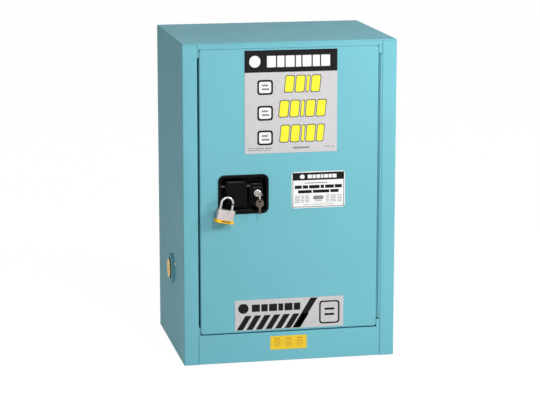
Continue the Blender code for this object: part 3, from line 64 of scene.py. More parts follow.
# Camera, found from the corners of the cabinet in the photograph
CAMERA_X = -1.123
CAMERA_BEFORE_FRONT = 5.290
CAMERA_Z = 1.559
CAMERA_TURN = 11.4 * DEGREE
CAMERA_PITCH = 11.68 * DEGREE
CAMERA_LENS = 135.1

# Light
WORLD_LIGHT = 0.31
FLOOR_GLOW = 1.11
FLOOR_SIZE = 40.0
FLOOR_SHADOW_SHARE = 0.14

# Lines of the cabinet, from the frame
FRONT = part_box("left_side_panel")[0].y


def across_x(u, v, w):
    """Outline in the YZ plane, run along X."""
    return Vector((w, u, v))


def across_y(u, v, w):
    """Outline in the XZ plane, run along Y."""
    return Vector((u, w, v))


def across_z(u, v, w):
    """Outline in the XY plane, run along Z."""
    return Vector((u, v, w))


def arc(centre, radius, start, turn, steps):
    angles = [start + turn * step / steps for step in range(steps + 1)]
    return [(centre[0] + radius * math.cos(a), centre[1] + radius * math.sin(a)) for a in angles]


def circle(centre, radius, sides):
    return arc(centre, radius, 0, 2 * math.pi, sides)[:-1]


def rounded_rect(width, height, radius, steps=6):
    """A rectangle about the origin with round corners."""
    radius = max(min(radius, width / 2, height / 2), 0.1 * MM)
    points = []
    for corner, (side, rise) in enumerate(((1, 1), (-1, 1), (-1, -1), (1, -1))):
        centre = (side * (width / 2 - radius), rise * (height / 2 - radius))
        points += arc(centre, radius, corner * QUARTER, QUARTER, steps)
    return points


def moved(outline, u, v):
    return [(point[0] + u, point[1] + v) for point in outline]


def add_rings(bm, rings, closed=False):
    """Joins loops of points one after another into a closed body."""
    loops = [[bm.verts.new(point) for point in ring] for ring in rings]
    pairs = list(zip(loops, loops[1:]))
    if closed:
        pairs.append((loops[-1], loops[0]))
    for low, high in pairs:
        for index, vertex in enumerate(low):
            after = (index + 1) % len(low)
            bm.faces.new((vertex, low[after], high[after], high[index]))
    if not closed:
        bm.faces.new(loops[0])
        bm.faces.new(loops[-1][::-1])


def add_prism(bm, outline, low, high, place):
    add_rings(bm, [[place(u, v, w) for u, v in outline] for w in (low, high)])


def add_soft_prism(bm, outline_at, low, high, edge, place, steps=3):
    """A prism whose two rims are rounded; outline_at(inset) gives its outline."""
    angles = [QUARTER * step / steps for step in range(steps + 1)]
    stations = [(edge * (1 - math.sin(a)), low + edge * (1 - math.cos(a))) for a in angles]
    stations += [(edge * (1 - math.sin(a)), high - edge * (1 - math.cos(a))) for a in angles[::-1]]
    add_rings(bm, [[place(u, v, w) for u, v in outline_at(inset)] for inset, w in stations])


def add_turned(bm, profile, centre, place, sides=48, closed=False):
    """Turns (radius, distance) pairs about the line through the centre."""
    rings = [[place(u, v, w) for u, v in circle(centre, radius, sides)] for radius, w in profile]
    add_rings(bm, rings, closed)


def add_tube(bm, path, radius, sides=16, closed=False, up=Vector((0, 0, 1))):
    """A round bar along points, with a frame that turns as little as it can."""
    rings = []
    side = None
    for index, point in enumerate(path):
        before = path[index - 1] if closed or index else point
        after = path[(index + 1) % len(path)] if closed or index < len(path) - 1 else point
        ahead = (after - before).normalized()
        if side is None:
            side = ahead.cross(up)
            if side.length < 0.1:
                side = ahead.cross(Vector((1, 0, 0)))
        side = (side - ahead * side.dot(ahead)).normalized()
        other = ahead.cross(side)
        rings.append([point + side * u + other * v for u, v in circle((0, 0), radius, sides)])
    add_rings(bm, rings, closed)


def add_sheet(bm, outer, holes, low, high, place):
    """A flat sheet with holes through it."""
    sides = []
    for w in (low, high):
        loops = []
        edges = []
        for loop in [outer, *holes]:
            verts = [bm.verts.new(place(u, v, w)) for u, v in loop]
            edges += [bm.edges.new((a, b)) for a, b in zip(verts, verts[1:] + verts[:1])]
            loops.append(verts)
        bmesh.ops.triangle_fill(bm, use_beauty=True, use_dissolve=False, edges=edges)
        sides.append(loops)
    for low_loop, high_loop in zip(*sides):
        for index, vertex in enumerate(low_loop):
            after = (index + 1) % len(low_loop)
            bm.faces.new((vertex, low_loop[after], high_loop[after], high_loop[index]))


def smooth_by_angle(mesh, angle=40 * DEGREE):
    mesh.shade_smooth()
    mesh.set_sharp_from_angle(angle=angle)


def piece(name, shapes, material, body, replaces=(), matrix=None, bevel=0):
    """One finished piece: shapes add to its mesh, and it rides on a body of the frame."""
    bm = bmesh.new()
    for shape in shapes:
        shape(bm)
    if matrix:
        bmesh.ops.transform(bm, matrix=matrix, verts=bm.verts)
    bmesh.ops.recalc_face_normals(bm, faces=bm.faces)
    mesh = bpy.data.meshes.new(name)
    bm.to_mesh(mesh)
    bm.free()
    smooth_by_angle(mesh)
    mesh.materials.append(MATERIALS[material])
    obj = bpy.data.objects.new(name, mesh)
    bpy.context.scene.collection.objects.link(obj)
    if bevel:
        add_bevel(obj, bevel)
    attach(obj, body)
    if replaces:
        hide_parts(*replaces)
    return obj


def add_bevel(obj, width, segments=2, angle=50 * DEGREE):
    bevel = obj.modifiers.new("edges", "BEVEL")
    bevel.width = width
    bevel.segments = segments
    bevel.limit_method = "ANGLE"
    bevel.angle_limit = angle
    bevel.harden_normals = True


class Nodes:
    """Builds one material's node tree round its Principled shader."""

    def __init__(self, name):
        self.material = bpy.data.materials.new(name)
        self.material.use_nodes = True
        self.tree = self.material.node_tree
        self.shader = self.tree.nodes["Principled BSDF"]
        self.place = self.add("ShaderNodeTexCoord").outputs["Object"]

    def add(self, kind, **values):
        node = self.tree.nodes.new(kind)
        for key, value in values.items():
            setattr(node, key, value)
        return node

    def link(self, source, target):
        self.tree.links.new(source, target)

    def noise(self, scale, detail=2.0, stretch=None):
        node = self.add("ShaderNodeTexNoise")
        node.inputs["Scale"].default_value = scale
        node.inputs["Detail"].default_value = detail
        source = self.place
        if stretch:
            mapping = self.add("ShaderNodeMapping")
            mapping.inputs["Scale"].default_value = stretch
            self.link(source, mapping.inputs["Vector"])
            source = mapping.outputs["Vector"]
        self.link(source, node.inputs["Vector"])
        return node.outputs["Fac"]

    def span(self, source, low, high, out_low, out_high):
        node = self.add("ShaderNodeMapRange")
        for key, value in zip(("From Min", "From Max", "To Min", "To Max"), (low, high, out_low, out_high)):
            node.inputs[key].default_value = value
        self.link(source, node.inputs["Value"])
        return node.outputs["Result"]

    def mix(self, factor, first, second):
        node = self.add("ShaderNodeMix", data_type="RGBA")
        for socket, value in ((node.inputs[6], first), (node.inputs[7], second)):
            if hasattr(value, "links"):
                self.link(value, socket)
            else:
                socket.default_value = (*value, 1)
        self.link(factor, node.inputs[0])
        return node.outputs[2]

    def bump(self, height, strength, distance, normal=None):
        node = self.add("ShaderNodeBump")
        node.inputs["Strength"].default_value = strength
        node.inputs["Distance"].default_value = distance
        self.link(height, node.inputs["Height"])
        if normal:
            self.link(normal, node.inputs["Normal"])
        return node.outputs["Normal"]

    def set(self, **values):
        for key, value in values.items():
            socket = self.shader.inputs[key.replace("_", " ")]
            if hasattr(value, "links"):
                self.link(value, socket)
            else:
                socket.default_value = (*value, 1) if isinstance(value, tuple) else value


def shade(colour, factor):
    return tuple(min(1.0, channel * factor) for channel in colour)


def painted(name, colour, roughness, patch=0.03, peel=0.12, gloss=0.35):
    """Powder coat: faint patches, an orange-peel skin and uneven gloss."""
    nodes = Nodes(name)
    patches = nodes.span(nodes.noise(3.0, 3.0), 0.35, 0.65, 0, 1)
    base = nodes.mix(patches, shade(colour, 1 - patch), shade(colour, 1 + patch))
    rough = nodes.span(nodes.noise(40.0, 4.0), 0.3, 0.7, roughness - 0.04, roughness + 0.05)
    skin = nodes.bump(nodes.noise(700.0, 1.0), peel, 0.1 * MM)
    nodes.set(Base_Color=base, Roughness=rough, Normal=skin, Metallic=0.0, Specular_IOR_Level=gloss)
    return nodes.material


def brushed(name, colour, roughness, stretch, patch=0.10, depth=0.15):
    """Plated or rolled metal with fine lines, all one way, and dull patches."""
    nodes = Nodes(name)
    lines = nodes.noise(300.0, 3.0, stretch)
    dull = nodes.noise(25.0, 4.0)
    base = nodes.mix(nodes.span(dull, 0.3, 0.7, 0, 1), shade(colour, 1 - patch), shade(colour, 1 + patch))
    rough = nodes.span(dull, 0.3, 0.7, roughness + 0.08, roughness - 0.05)
    skin = nodes.bump(lines, depth, 0.05 * MM)
    nodes.set(Base_Color=base, Roughness=rough, Normal=skin, Metallic=1.0)
    return nodes.material


def moulded(name, colour, roughness, grain=500.0, depth=0.15, patch=0.06, subsurface=0.0, gloss=0.5):
    """Moulded plastic with a fine grain."""
    nodes = Nodes(name)
    wear = nodes.noise(30.0, 5.0)
    base = nodes.mix(nodes.span(wear, 0.3, 0.7, 0, 1), shade(colour, 1 - patch), shade(colour, 1 + patch))
    rough = nodes.span(wear, 0.3, 0.7, roughness - 0.04, roughness + 0.06)
    skin = nodes.bump(nodes.noise(grain, 2.0), depth, 0.05 * MM)
    nodes.set(Base_Color=base, Roughness=rough, Normal=skin, Specular_IOR_Level=gloss)
    if subsurface:
        nodes.set(Subsurface_Weight=subsurface, Subsurface_Scale=4 * MM)
    return nodes.material


def printed(name, colour, roughness=0.45, gloss=0.22):
    """Ink or vinyl: flat colour with the film's faint unevenness."""
    nodes = Nodes(name)
    film = nodes.noise(60.0, 3.0)
    base = nodes.mix(nodes.span(film, 0.3, 0.7, 0, 1), shade(colour, 0.97), shade(colour, 1.03))
    rough = nodes.span(film, 0.3, 0.7, roughness - 0.05, roughness + 0.05)
    skin = nodes.bump(nodes.noise(250.0, 2.0), 0.06, 0.05 * MM)
    nodes.set(Base_Color=base, Roughness=rough, Normal=skin, Specular_IOR_Level=gloss)
    return nodes.material


BLUE = (0.158, 0.452, 0.525)
MATERIALS = {
    "paint": painted("blue_powder_coat", BLUE, 0.55, gloss=0.22),
    "zinc": brushed("zinc_plate", (0.62, 0.62, 0.60), 0.34, (1, 1, 12)),
    "case": brushed("laminated_steel", (0.50, 0.455, 0.455), 0.42, (1, 1, 25), depth=0.3),
    "black": moulded("black_moulding", (0.0035, 0.0035, 0.0045), 0.36, gloss=0.07),
    # a lighter, glossier black for the beads that paint highlight lines on the handle's upper edges
    "black_painted_highlight": moulded("black_painted_highlight_bead", (0.02, 0.02, 0.022), 0.28, gloss=0.8),
    "black_matte": moulded("black_grained_moulding", (0.0035, 0.0035, 0.0045), 0.48, depth=0.35, gloss=0.06),
    "black_steel": painted("black_enamel", (0.006, 0.006, 0.007), 0.36, gloss=0.15),
    "chrome": brushed("bright_plate", (0.56, 0.54, 0.51), 0.20, (1, 1, 4), patch=0.06, depth=0.05),
    # near-black steel for the paddle's pin: painted shade, so that the pin sinks into the dark recess
    "pin_painted_shade": moulded("pin_steel_darkened_as_shade", (0.07, 0.068, 0.065), 0.5, gloss=0.5),
    # nickel darkened to a brown-grey: painted shade on the key that hangs from the ring
    "nickel": brushed("nickel_darkened_as_shade", (0.125, 0.105, 0.082), 0.42, (1, 1, 10), patch=0.2),
    "ring_steel": brushed("ring_steel", (0.50, 0.46, 0.40), 0.25, (1, 1, 4)),
    "gold": brushed("yellow_zinc", (0.55, 0.38, 0.12), 0.36, (1, 1, 6), patch=0.2),
    "yellow": moulded("yellow_vinyl", (0.93, 0.50, 0.008), 0.45, gloss=0.25),
    "slot_dark": moulded("slot_shadow", (0.10, 0.055, 0.03), 0.5, gloss=0.2),
    "white": moulded("white_polyethylene", (0.78, 0.80, 0.79), 0.50, 300.0, 0.2, 0.02, 0.3),
    "grey_film": printed("silver_film", (0.55, 0.535, 0.54)),
    "white_film": printed("white_film", (0.80, 0.80, 0.79)),
    "yellow_film": printed("yellow_film", (0.86, 0.60, 0.03)),
    "black_ink": printed("black_ink", (0.008, 0.007, 0.008), gloss=0.12),
    "white_ink": printed("white_ink", (0.78, 0.78, 0.78)),
    "yellow_ink": printed("yellow_ink", (0.85, 0.78, 0.04)),
    "navy_ink": printed("dark_outline_ink", (0.045, 0.05, 0.10)),
    "grey_ink": printed("grey_ink", (0.22, 0.22, 0.22)),
    "orange_ink": printed("orange_ink", (0.55, 0.25, 0.02)),
}

SLOT_MATERIALS = {
    "blue_paint": "paint",
    "zinc_steel": "zinc",
    "case_steel": "case",
    "black_plastic": "black",
    "black_steel": "black_steel",
    "chrome": "chrome",
    "nickel": "nickel",
    "gold_zinc": "gold",
    "yellow_plastic": "yellow",
    "white_plastic": "white",
    "grey_plate": "grey_film",
    "white_plate": "white_film",
    "yellow_plate": "yellow_film",
}


def finish_cad_nodes():
    """Gives every node of the frame its material, and folded sheets a small round on each raw edge."""
    for entry in SUBPARTS:
        obj = NODES[entry["node"]]
        # the paddle's pin takes the near-black steel that paints it as shade in the recess
        look = "pin_painted_shade" if entry["node"] == "paddle_pin" else SLOT_MATERIALS[entry["material_slot"]]
        material = MATERIALS[look]
        obj.data.materials.clear()
        obj.data.materials.append(material)
        weld = obj.modifiers.new("weld", "WELD")
        weld.merge_threshold = 0.00001
        add_bevel(obj, 0.25 * MM)
        normals = obj.modifiers.new("normals", "WEIGHTED_NORMAL")
        normals.keep_sharp = True
        for polygon in obj.data.polygons:
            polygon.use_smooth = True


# Continuous hinge
KNUCKLE_PITCH = 12.7 * MM
KNUCKLE_SPACE = 0.45 * MM
BARREL_RADIUS = 3.1 * MM
BARREL_EDGE = 0.4 * MM
HINGE_SHEET = 1.0 * MM


def make_hinge():
    """Both leaves with their knuckles, which take turns along the pin."""
    axis = Vector(JOINTS["door_hinge"]["pos_m"])
    low, high = (corner.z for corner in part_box("hinge_pin"))
    leaf_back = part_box("hinge_door_leaf")[1].y
    count = round((high - low) / KNUCKLE_PITCH)
    centre = (axis.x, axis.y)
    inner = BARREL_RADIUS - HINGE_SHEET

    def knuckles(parity):
        def add(bm):
            for index in range(parity, count, 2):
                bottom = low + index * KNUCKLE_PITCH + KNUCKLE_SPACE / 2
                top = bottom + KNUCKLE_PITCH - KNUCKLE_SPACE
                profile = [
                    (inner, bottom),
                    (BARREL_RADIUS - BARREL_EDGE, bottom),
                    (BARREL_RADIUS, bottom + BARREL_EDGE),
                    (BARREL_RADIUS, top - BARREL_EDGE),
                    (BARREL_RADIUS - BARREL_EDGE, top),
                    (inner, top),
                ]
                add_turned(bm, profile, centre, across_z, 20, closed=True)

        return add

    def leaf(x, front):
        def add(bm):
            middle = (x + HINGE_SHEET / 2, (front + leaf_back) / 2)
            outline = moved(rounded_rect(HINGE_SHEET, leaf_back - front, 0.2 * MM, 2), *middle)
            add_prism(bm, outline, low, high, across_z)

        return add

    frame_x = axis.x + inner
    door_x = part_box("hinge_door_leaf")[0].x

    def strip(bm, front, bottom, top):
        back = front + HINGE_SHEET
        outline = [(door_x, front), (axis.x, front), (axis.x, back), (door_x, back)]
        add_prism(bm, outline, bottom, top, across_z)

    def door_bridge(bm):
        strip(bm, axis.y + BARREL_RADIUS + GAP, low, high)
        for index in range(1, count, 2):
            bottom = low + index * KNUCKLE_PITCH + KNUCKLE_SPACE / 2
            strip(bm, axis.y + inner, bottom, bottom + KNUCKLE_PITCH - KNUCKLE_SPACE)

    on_frame = [knuckles(0), leaf(frame_x, axis.y + BARREL_RADIUS)]
    piece("hinge_leaf_on_frame", on_frame, "paint", "cabinet", ["hinge_frame_leaf"])
    on_door = [knuckles(1), leaf(door_x, axis.y + inner + HINGE_SHEET), door_bridge]
    piece("hinge_leaf_on_door", on_door, "paint", "door", ["hinge_door_leaf"])


# Seam over the door
SEAM_SPACE = 0.4 * MM
SEAM_SUNK = 0.35 * MM
SEAM_DEPTH = 2.8 * MM
SEAM_HEIGHT = 3.8 * MM


def make_top_seam():
    """A thin filler behind the rail's bend, which leaves only a fine seam over the door."""
    door_low, door_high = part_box("door_skin")
    bottom = door_high.z + SEAM_SPACE
    front = FRONT + SEAM_SUNK
    top = door_high.z + SEAM_HEIGHT
    outline = [(front, bottom), (front + SEAM_DEPTH, bottom), (front + SEAM_DEPTH, bottom + SEAM_SPACE)]
    outline += arc((front + SEAM_DEPTH, top), SEAM_DEPTH, -QUARTER, -QUARTER, 5)
    shape = lambda bm: add_prism(bm, outline, door_low.x, door_high.x, across_x)
    piece("top_seam_filler", [shape], "paint", "cabinet")


# Handle cup and what is in it
CUP_CORNER = 17.0 * MM
CUP_RIM = 7.8 * MM
CUP_WALL = 2.0 * MM
CUP_DRAFT = 1.7 * MM
CUP_ROUND = 2.2 * MM
CUP_FILLET = 3.0 * MM
CUP_STEPS = 5
EDGE_TURNS = [QUARTER * step / CUP_STEPS for step in range(CUP_STEPS + 1)]
LOCK_EDGE = 1.0 * MM


def make_cup():
    """The recessed dish: a round rim, drafted walls and a filleted floor."""
    low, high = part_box("handle_cup")
    width = high.x - low.x
    height = high.z - low.z
    centre = ((low.x + high.x) / 2, (low.z + high.z) / 2)
    face = low.y
    back = high.y
    floor = back - CUP_WALL
    wall_out = CUP_RIM - CUP_WALL
    stations = [(wall_out + CUP_DRAFT, back), (wall_out, face + CUP_ROUND)]
    for a in EDGE_TURNS:
        stations.append((CUP_ROUND * (1 - math.cos(a)), face + CUP_ROUND * (1 - math.sin(a))))
    for a in EDGE_TURNS:
        stations.append((CUP_RIM - CUP_ROUND * (1 - math.sin(a)), face + CUP_ROUND * (1 - math.cos(a))))
    wall = CUP_RIM + CUP_DRAFT
    for a in EDGE_TURNS:
        stations.append((wall + CUP_FILLET * (1 - math.cos(a)), floor - CUP_FILLET * (1 - math.sin(a))))
    lock = Vector(JOINTS["lock_turn"]["pos_m"])

    def dish(bm):
        rings = []
        for inset, y in stations:
            outline = rounded_rect(width - 2 * inset, height - 2 * inset, CUP_CORNER - inset, 8)
            rings.append([across_y(u, v, y) for u, v in moved(outline, *centre)])
        add_rings(bm, rings)

    cup = piece("handle_dish", [dish], "black", "door", ["handle_cup"])
    bore_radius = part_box("lock_cylinder")[1].x - lock.x - LOCK_EDGE
    bore(cup, "lock_bore", (lock.x, lock.z), bore_radius, floor - CUP_WALL, back + CUP_WALL, across_y)
    pin = Vector(JOINTS["paddle_pull"]["pos_m"])
    pin_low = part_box("paddle_pin")[0].x
    bore(cup, "pin_bore", (pin.y, pin.z), PIN_BORE, pin_low, pin.x, across_x)


def bore(obj, name, centre, radius, low, high, place):
    """Cuts a round hole and applies the cut."""
    bm = bmesh.new()
    add_turned(bm, [(radius, low), (radius, high)], centre, place, 32)
    bmesh.ops.recalc_face_normals(bm, faces=bm.faces)
    mesh = bpy.data.meshes.new(name)
    bm.to_mesh(mesh)
    bm.free()
    helper = bpy.data.objects.new(name, mesh)
    bpy.context.scene.collection.objects.link(helper)
    modifier = obj.modifiers.new(name, "BOOLEAN")
    modifier.object = helper
    modifier.operation = "DIFFERENCE"
    bpy.context.view_layer.update()
    evaluated = obj.evaluated_get(bpy.context.evaluated_depsgraph_get())
    result = bpy.data.meshes.new_from_object(evaluated)
    obj.modifiers.clear()
    obj.data = result
    smooth_by_angle(result)
    bpy.data.objects.remove(helper)


PADDLE_CORNER = 6.0 * MM
PADDLE_EDGE = 4.0 * MM
PADDLE_WALL = 2.5 * MM
PADDLE_CROWN = 0.7 * MM


def make_paddle():
    """A pan-shaped pull with soft edges and a slightly hollow face."""
    low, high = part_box("paddle")
    width = high.x - low.x
    height = high.z - low.z
    centre = ((low.x + high.x) / 2, (low.z + high.z) / 2)
    face = low.y
    back = high.y
    inner = PADDLE_EDGE - PADDLE_WALL
    stations = [(PADDLE_EDGE + 4 * MM, face + PADDLE_CROWN), (PADDLE_EDGE + 2 * MM, face + PADDLE_CROWN)]
    for a in EDGE_TURNS:
        stations.append((PADDLE_EDGE * (1 - math.sin(a)), face + PADDLE_EDGE * (1 - math.cos(a))))
    stations += [(0, back), (PADDLE_WALL, back)]
    for a in EDGE_TURNS[::-1]:
        inset = PADDLE_WALL + inner * (1 - math.sin(a))
        stations.append((inset, face + PADDLE_WALL + inner * (1 - math.cos(a))))

    def pan(bm):
        rings = []
        for inset, y in stations:
            outline = rounded_rect(width - 2 * inset, height - 2 * inset, PADDLE_CORNER - inset, 6)
            rings.append([across_y(u, v, y) for u, v in moved(outline, *centre)])
        add_rings(bm, rings)

    paddle = piece("pull_paddle", [pan], "black_matte", "paddle_handle", ["paddle"])
    pin = Vector(JOINTS["paddle_pull"]["pos_m"])
    reach = width / 2 + 2 * MM
    bore(paddle, "paddle_bore", (pin.y, pin.z), PIN_BORE, pin.x - reach, pin.x + reach, across_x)


BLOCK_CORNER = 4.0 * MM
BLOCK_EDGE = 1.6 * MM
BLOCK_REAR_DROP = 5.5 * MM
BLOCK_FRONT_DROP = 15.0 * MM
BLOCK_FRONT_ASIDE = 4.5 * MM
BLOCK_STEP = 5.0 * MM


def make_housing():
    """The lock's block in two steps, each with a chamfered upper left corner."""
    low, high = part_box("lock_housing")
    lock = Vector(JOINTS["lock_turn"]["pos_m"])

    def block_outline(start, top, slope):
        def outline_at(inset):
            left, right = start + inset, high.x - inset
            bottom, upper = low.z + inset, top - inset
            points = [(left + slope, upper), (left, upper - slope)]
            near, far = left + BLOCK_CORNER, right - BLOCK_CORNER
            points += arc((near, bottom + BLOCK_CORNER), BLOCK_CORNER, math.pi, QUARTER, 4)
            points += arc((far, bottom + BLOCK_CORNER), BLOCK_CORNER, -QUARTER, QUARTER, 4)
            points += arc((far, upper - BLOCK_CORNER), BLOCK_CORNER, 0, QUARTER, 4)
            return points

        return outline_at

    def front_block(bm):
        outline = block_outline(low.x + BLOCK_FRONT_ASIDE, high.z - BLOCK_FRONT_DROP, 7.0 * MM)
        add_soft_prism(bm, outline, low.y, high.y, BLOCK_EDGE, across_y)

    def rear_block(bm):
        outline = block_outline(low.x, high.z - BLOCK_REAR_DROP, 3.0 * MM)
        add_soft_prism(bm, outline, low.y + BLOCK_STEP, high.y - GAP, BLOCK_EDGE, across_y)

    housing = piece("lock_block", [rear_block], "black", "door", ["lock_housing"])
    front = piece("lock_block_front", [front_block], "black_matte", "door")
    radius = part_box("lock_cylinder")[1].x - lock.x - LOCK_EDGE
    pin = Vector(JOINTS["paddle_pull"]["pos_m"])
    pin_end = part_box("paddle_pin")[1].x + GAP
    for obj in (housing, front):
        bore(obj, "cylinder_bore", (lock.x, lock.z), radius, low.y - CUP_WALL, high.y + CUP_WALL, across_y)
        bore(obj, "pin_end_bore", (pin.y, pin.z), PIN_BORE, pin.x, pin_end, across_x)


def gloss_line(name, stops, y, z, body, radius=0.8 * MM, rise=0):
    """A bead along an upper edge, lighter and glossier than the black round it, as a painted highlight line; rise
    curls up its right end.
    """
    path = [Vector((x, y, z)) for x in stops]
    if rise:
        path.append(Vector((stops[-1] + rise, y, z + rise)))
    shape = lambda bm: add_tube(bm, path, radius, 12, up=Vector((0, 1, 0)))
    piece(name, [shape], "black_painted_highlight", body)


def make_gloss_lines():
    """Painted highlight lines along the upper edges of the paddle, the lock block's two steps and the recess's
    floor.
    """
    low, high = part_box("paddle")
    left, right = low.x + 3.5 * MM, high.x - 10.0 * MM
    stops = (left, (left + right) / 2, right)
    gloss_line("paddle_edge_line", stops, low.y + 1.1 * MM, high.z - 1.0 * MM, "paddle_handle")
    low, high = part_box("lock_housing")
    right = high.x - 6.0 * MM
    y = low.y + BLOCK_STEP + 0.8 * MM
    z = high.z - BLOCK_REAR_DROP - 0.7 * MM
    gloss_line("block_rear_line", (low.x + 4.0 * MM, right), y, z, "door", 0.6 * MM)
    left = low.x + 12.0 * MM
    z = high.z - BLOCK_FRONT_DROP - 0.7 * MM
    stops = (left, (left + right) / 2, right)
    gloss_line("block_front_line", stops, low.y + 0.9 * MM, z, "door", rise=1.6 * MM)
    low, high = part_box("handle_cup")
    stops = (low.x + 44.0 * MM, high.x - 42.0 * MM)
    gloss_line("recess_line", stops, low.y + 12.0 * MM, low.z + CUP_RIM + 0.9 * MM, "door")


def make_lock_cylinder():
    """The lock's bright collar with a dished face, round its plug."""
    low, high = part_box("lock_cylinder")
    lock = Vector(JOINTS["lock_turn"]["pos_m"])
    centre = (lock.x, lock.z)
    radius = high.x - lock.x
    body_radius = radius - 1.3 * MM
    bore_radius = 6.3 * MM
    collar_back = lock.y - GAP
    front = low.y
    profile = [
        (bore_radius, front + 0.5 * MM),
        (bore_radius + 0.5 * MM, front + 0.2 * MM),
        (radius - 2.6 * MM, front),
        (radius - 1.2 * MM, front + 0.2 * MM),
        (radius - 0.4 * MM, front + 0.8 * MM),
        (radius, front + 1.8 * MM),
        (radius, collar_back),
        (body_radius, collar_back),
        (body_radius, high.y),
        (bore_radius, high.y),
    ]
    shape = lambda bm: add_turned(bm, profile, centre, across_y, 48, closed=True)
    piece("lock_collar", [shape], "chrome", "door", ["lock_cylinder"])


def key_outline(bow_radius, half, length):
    """A round bow with a shouldered blade towards +u, cut along one edge."""
    start = math.asin(half / bow_radius)
    bow = arc((0, 0), bow_radius, start, 2 * (math.pi - start), 36)
    end = bow_radius + length
    points = bow + [(bow_radius + 2.0 * MM, -half), (bow_radius + 3.0 * MM, -half + 0.8 * MM)]
    points += [(end - half, -half + 1.4 * MM), (end, -0.6 * MM), (end - 1.0 * MM, 0.6 * MM)]
    cuts = (1.2, 2.3, 1.5, 2.0, 0.8)
    u = end - 3.0 * MM
    for depth in cuts:
        points += [(u, half - depth * MM), (u - 1.3 * MM, half - depth * MM), (u - 2.2 * MM, half - 0.6 * MM)]
        u -= 3.0 * MM
    points += [(bow_radius + 2.0 * MM, half)]
    return points


def make_keys():
    """The key in the lock, and a spare on a split ring."""
    low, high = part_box("spare_key")
    bow_radius = (high.x - low.x) / 2
    hole_radius = 3.6 * MM
    hole_out = 6.0 * MM
    half = 3.5 * MM
    blade = 20.5 * MM
    outline = key_outline(bow_radius, half, blade)
    hole = circle((-hole_out, 0), hole_radius, 24)
    key_low, key_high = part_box("key")
    lock = Vector(JOINTS["lock_turn"]["pos_m"])
    bow_y = key_low.y + bow_radius
    flat = lambda points: [(lock.x + v, bow_y + u) for u, v in points]
    turned = lambda bm: add_sheet(bm, flat(outline), [flat(hole)], key_low.z, key_high.z, across_z)
    piece("key_in_lock", [turned], "ring_steel", "lock_barrel", ["key"], bevel=0.3 * MM)
    bow_z = high.z - bow_radius
    middle_x = (low.x + high.x) / 2
    hang = lambda points: [(middle_x + v, bow_z - u) for u, v in points]
    hung = lambda bm: add_sheet(bm, hang(outline), [hang(hole)], low.y, high.y, across_y)
    # the hanging key's darkened nickel is painted shade
    piece("key_on_ring", [hung], "nickel", "hung_key", ["spare_key"], bevel=0.3 * MM)
    ring_low, ring_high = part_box("key_ring")
    radius = (ring_high.z - ring_low.z) / 2
    wire = 0.55 * MM
    centre = (ring_low + ring_high) / 2
    across = Vector((ring_high.x - ring_low.x, ring_high.y - ring_low.y, 0)).normalized()
    normal = across.cross(Vector((0, 0, 1)))
    path = []
    turns = 2
    steps = 40
    for index in range(turns * steps + 1):
        angle = 2 * math.pi * index / steps
        lift = (index / (turns * steps) - 0.5) * 2 * wire
        run = radius - wire
        up = Vector((0, 0, run * math.sin(angle)))
        path.append(centre + across * run * math.cos(angle) + up + normal * lift)
    ring = lambda bm: add_tube(bm, path, wire, 10, up=normal)
    piece("split_ring", [ring], "ring_steel", "hung_key", ["key_ring"])


# Padlock, laid out from the top of its shackle's right leg, then turned and tilted as it hangs
PADLOCK_TURN = 8.5 * DEGREE
PADLOCK_TILT = 12 * DEGREE
SHACKLE_SPAN = 33.0 * MM
SHACKLE_RADIUS = 3.25 * MM
SHACKLE_SHOW = 17.0 * MM
SHACKLE_IN = 13.0 * MM
CASE_WIDTH = 50.0 * MM
CASE_THICK = 25.0 * MM
CASE_HEIGHT = 27.5 * MM
CASE_CORNER = 5.0 * MM
CASE_PLATES = 9
BUMPER_HEIGHT = 8.5 * MM
BUMPER_PROUD = 1.0 * MM


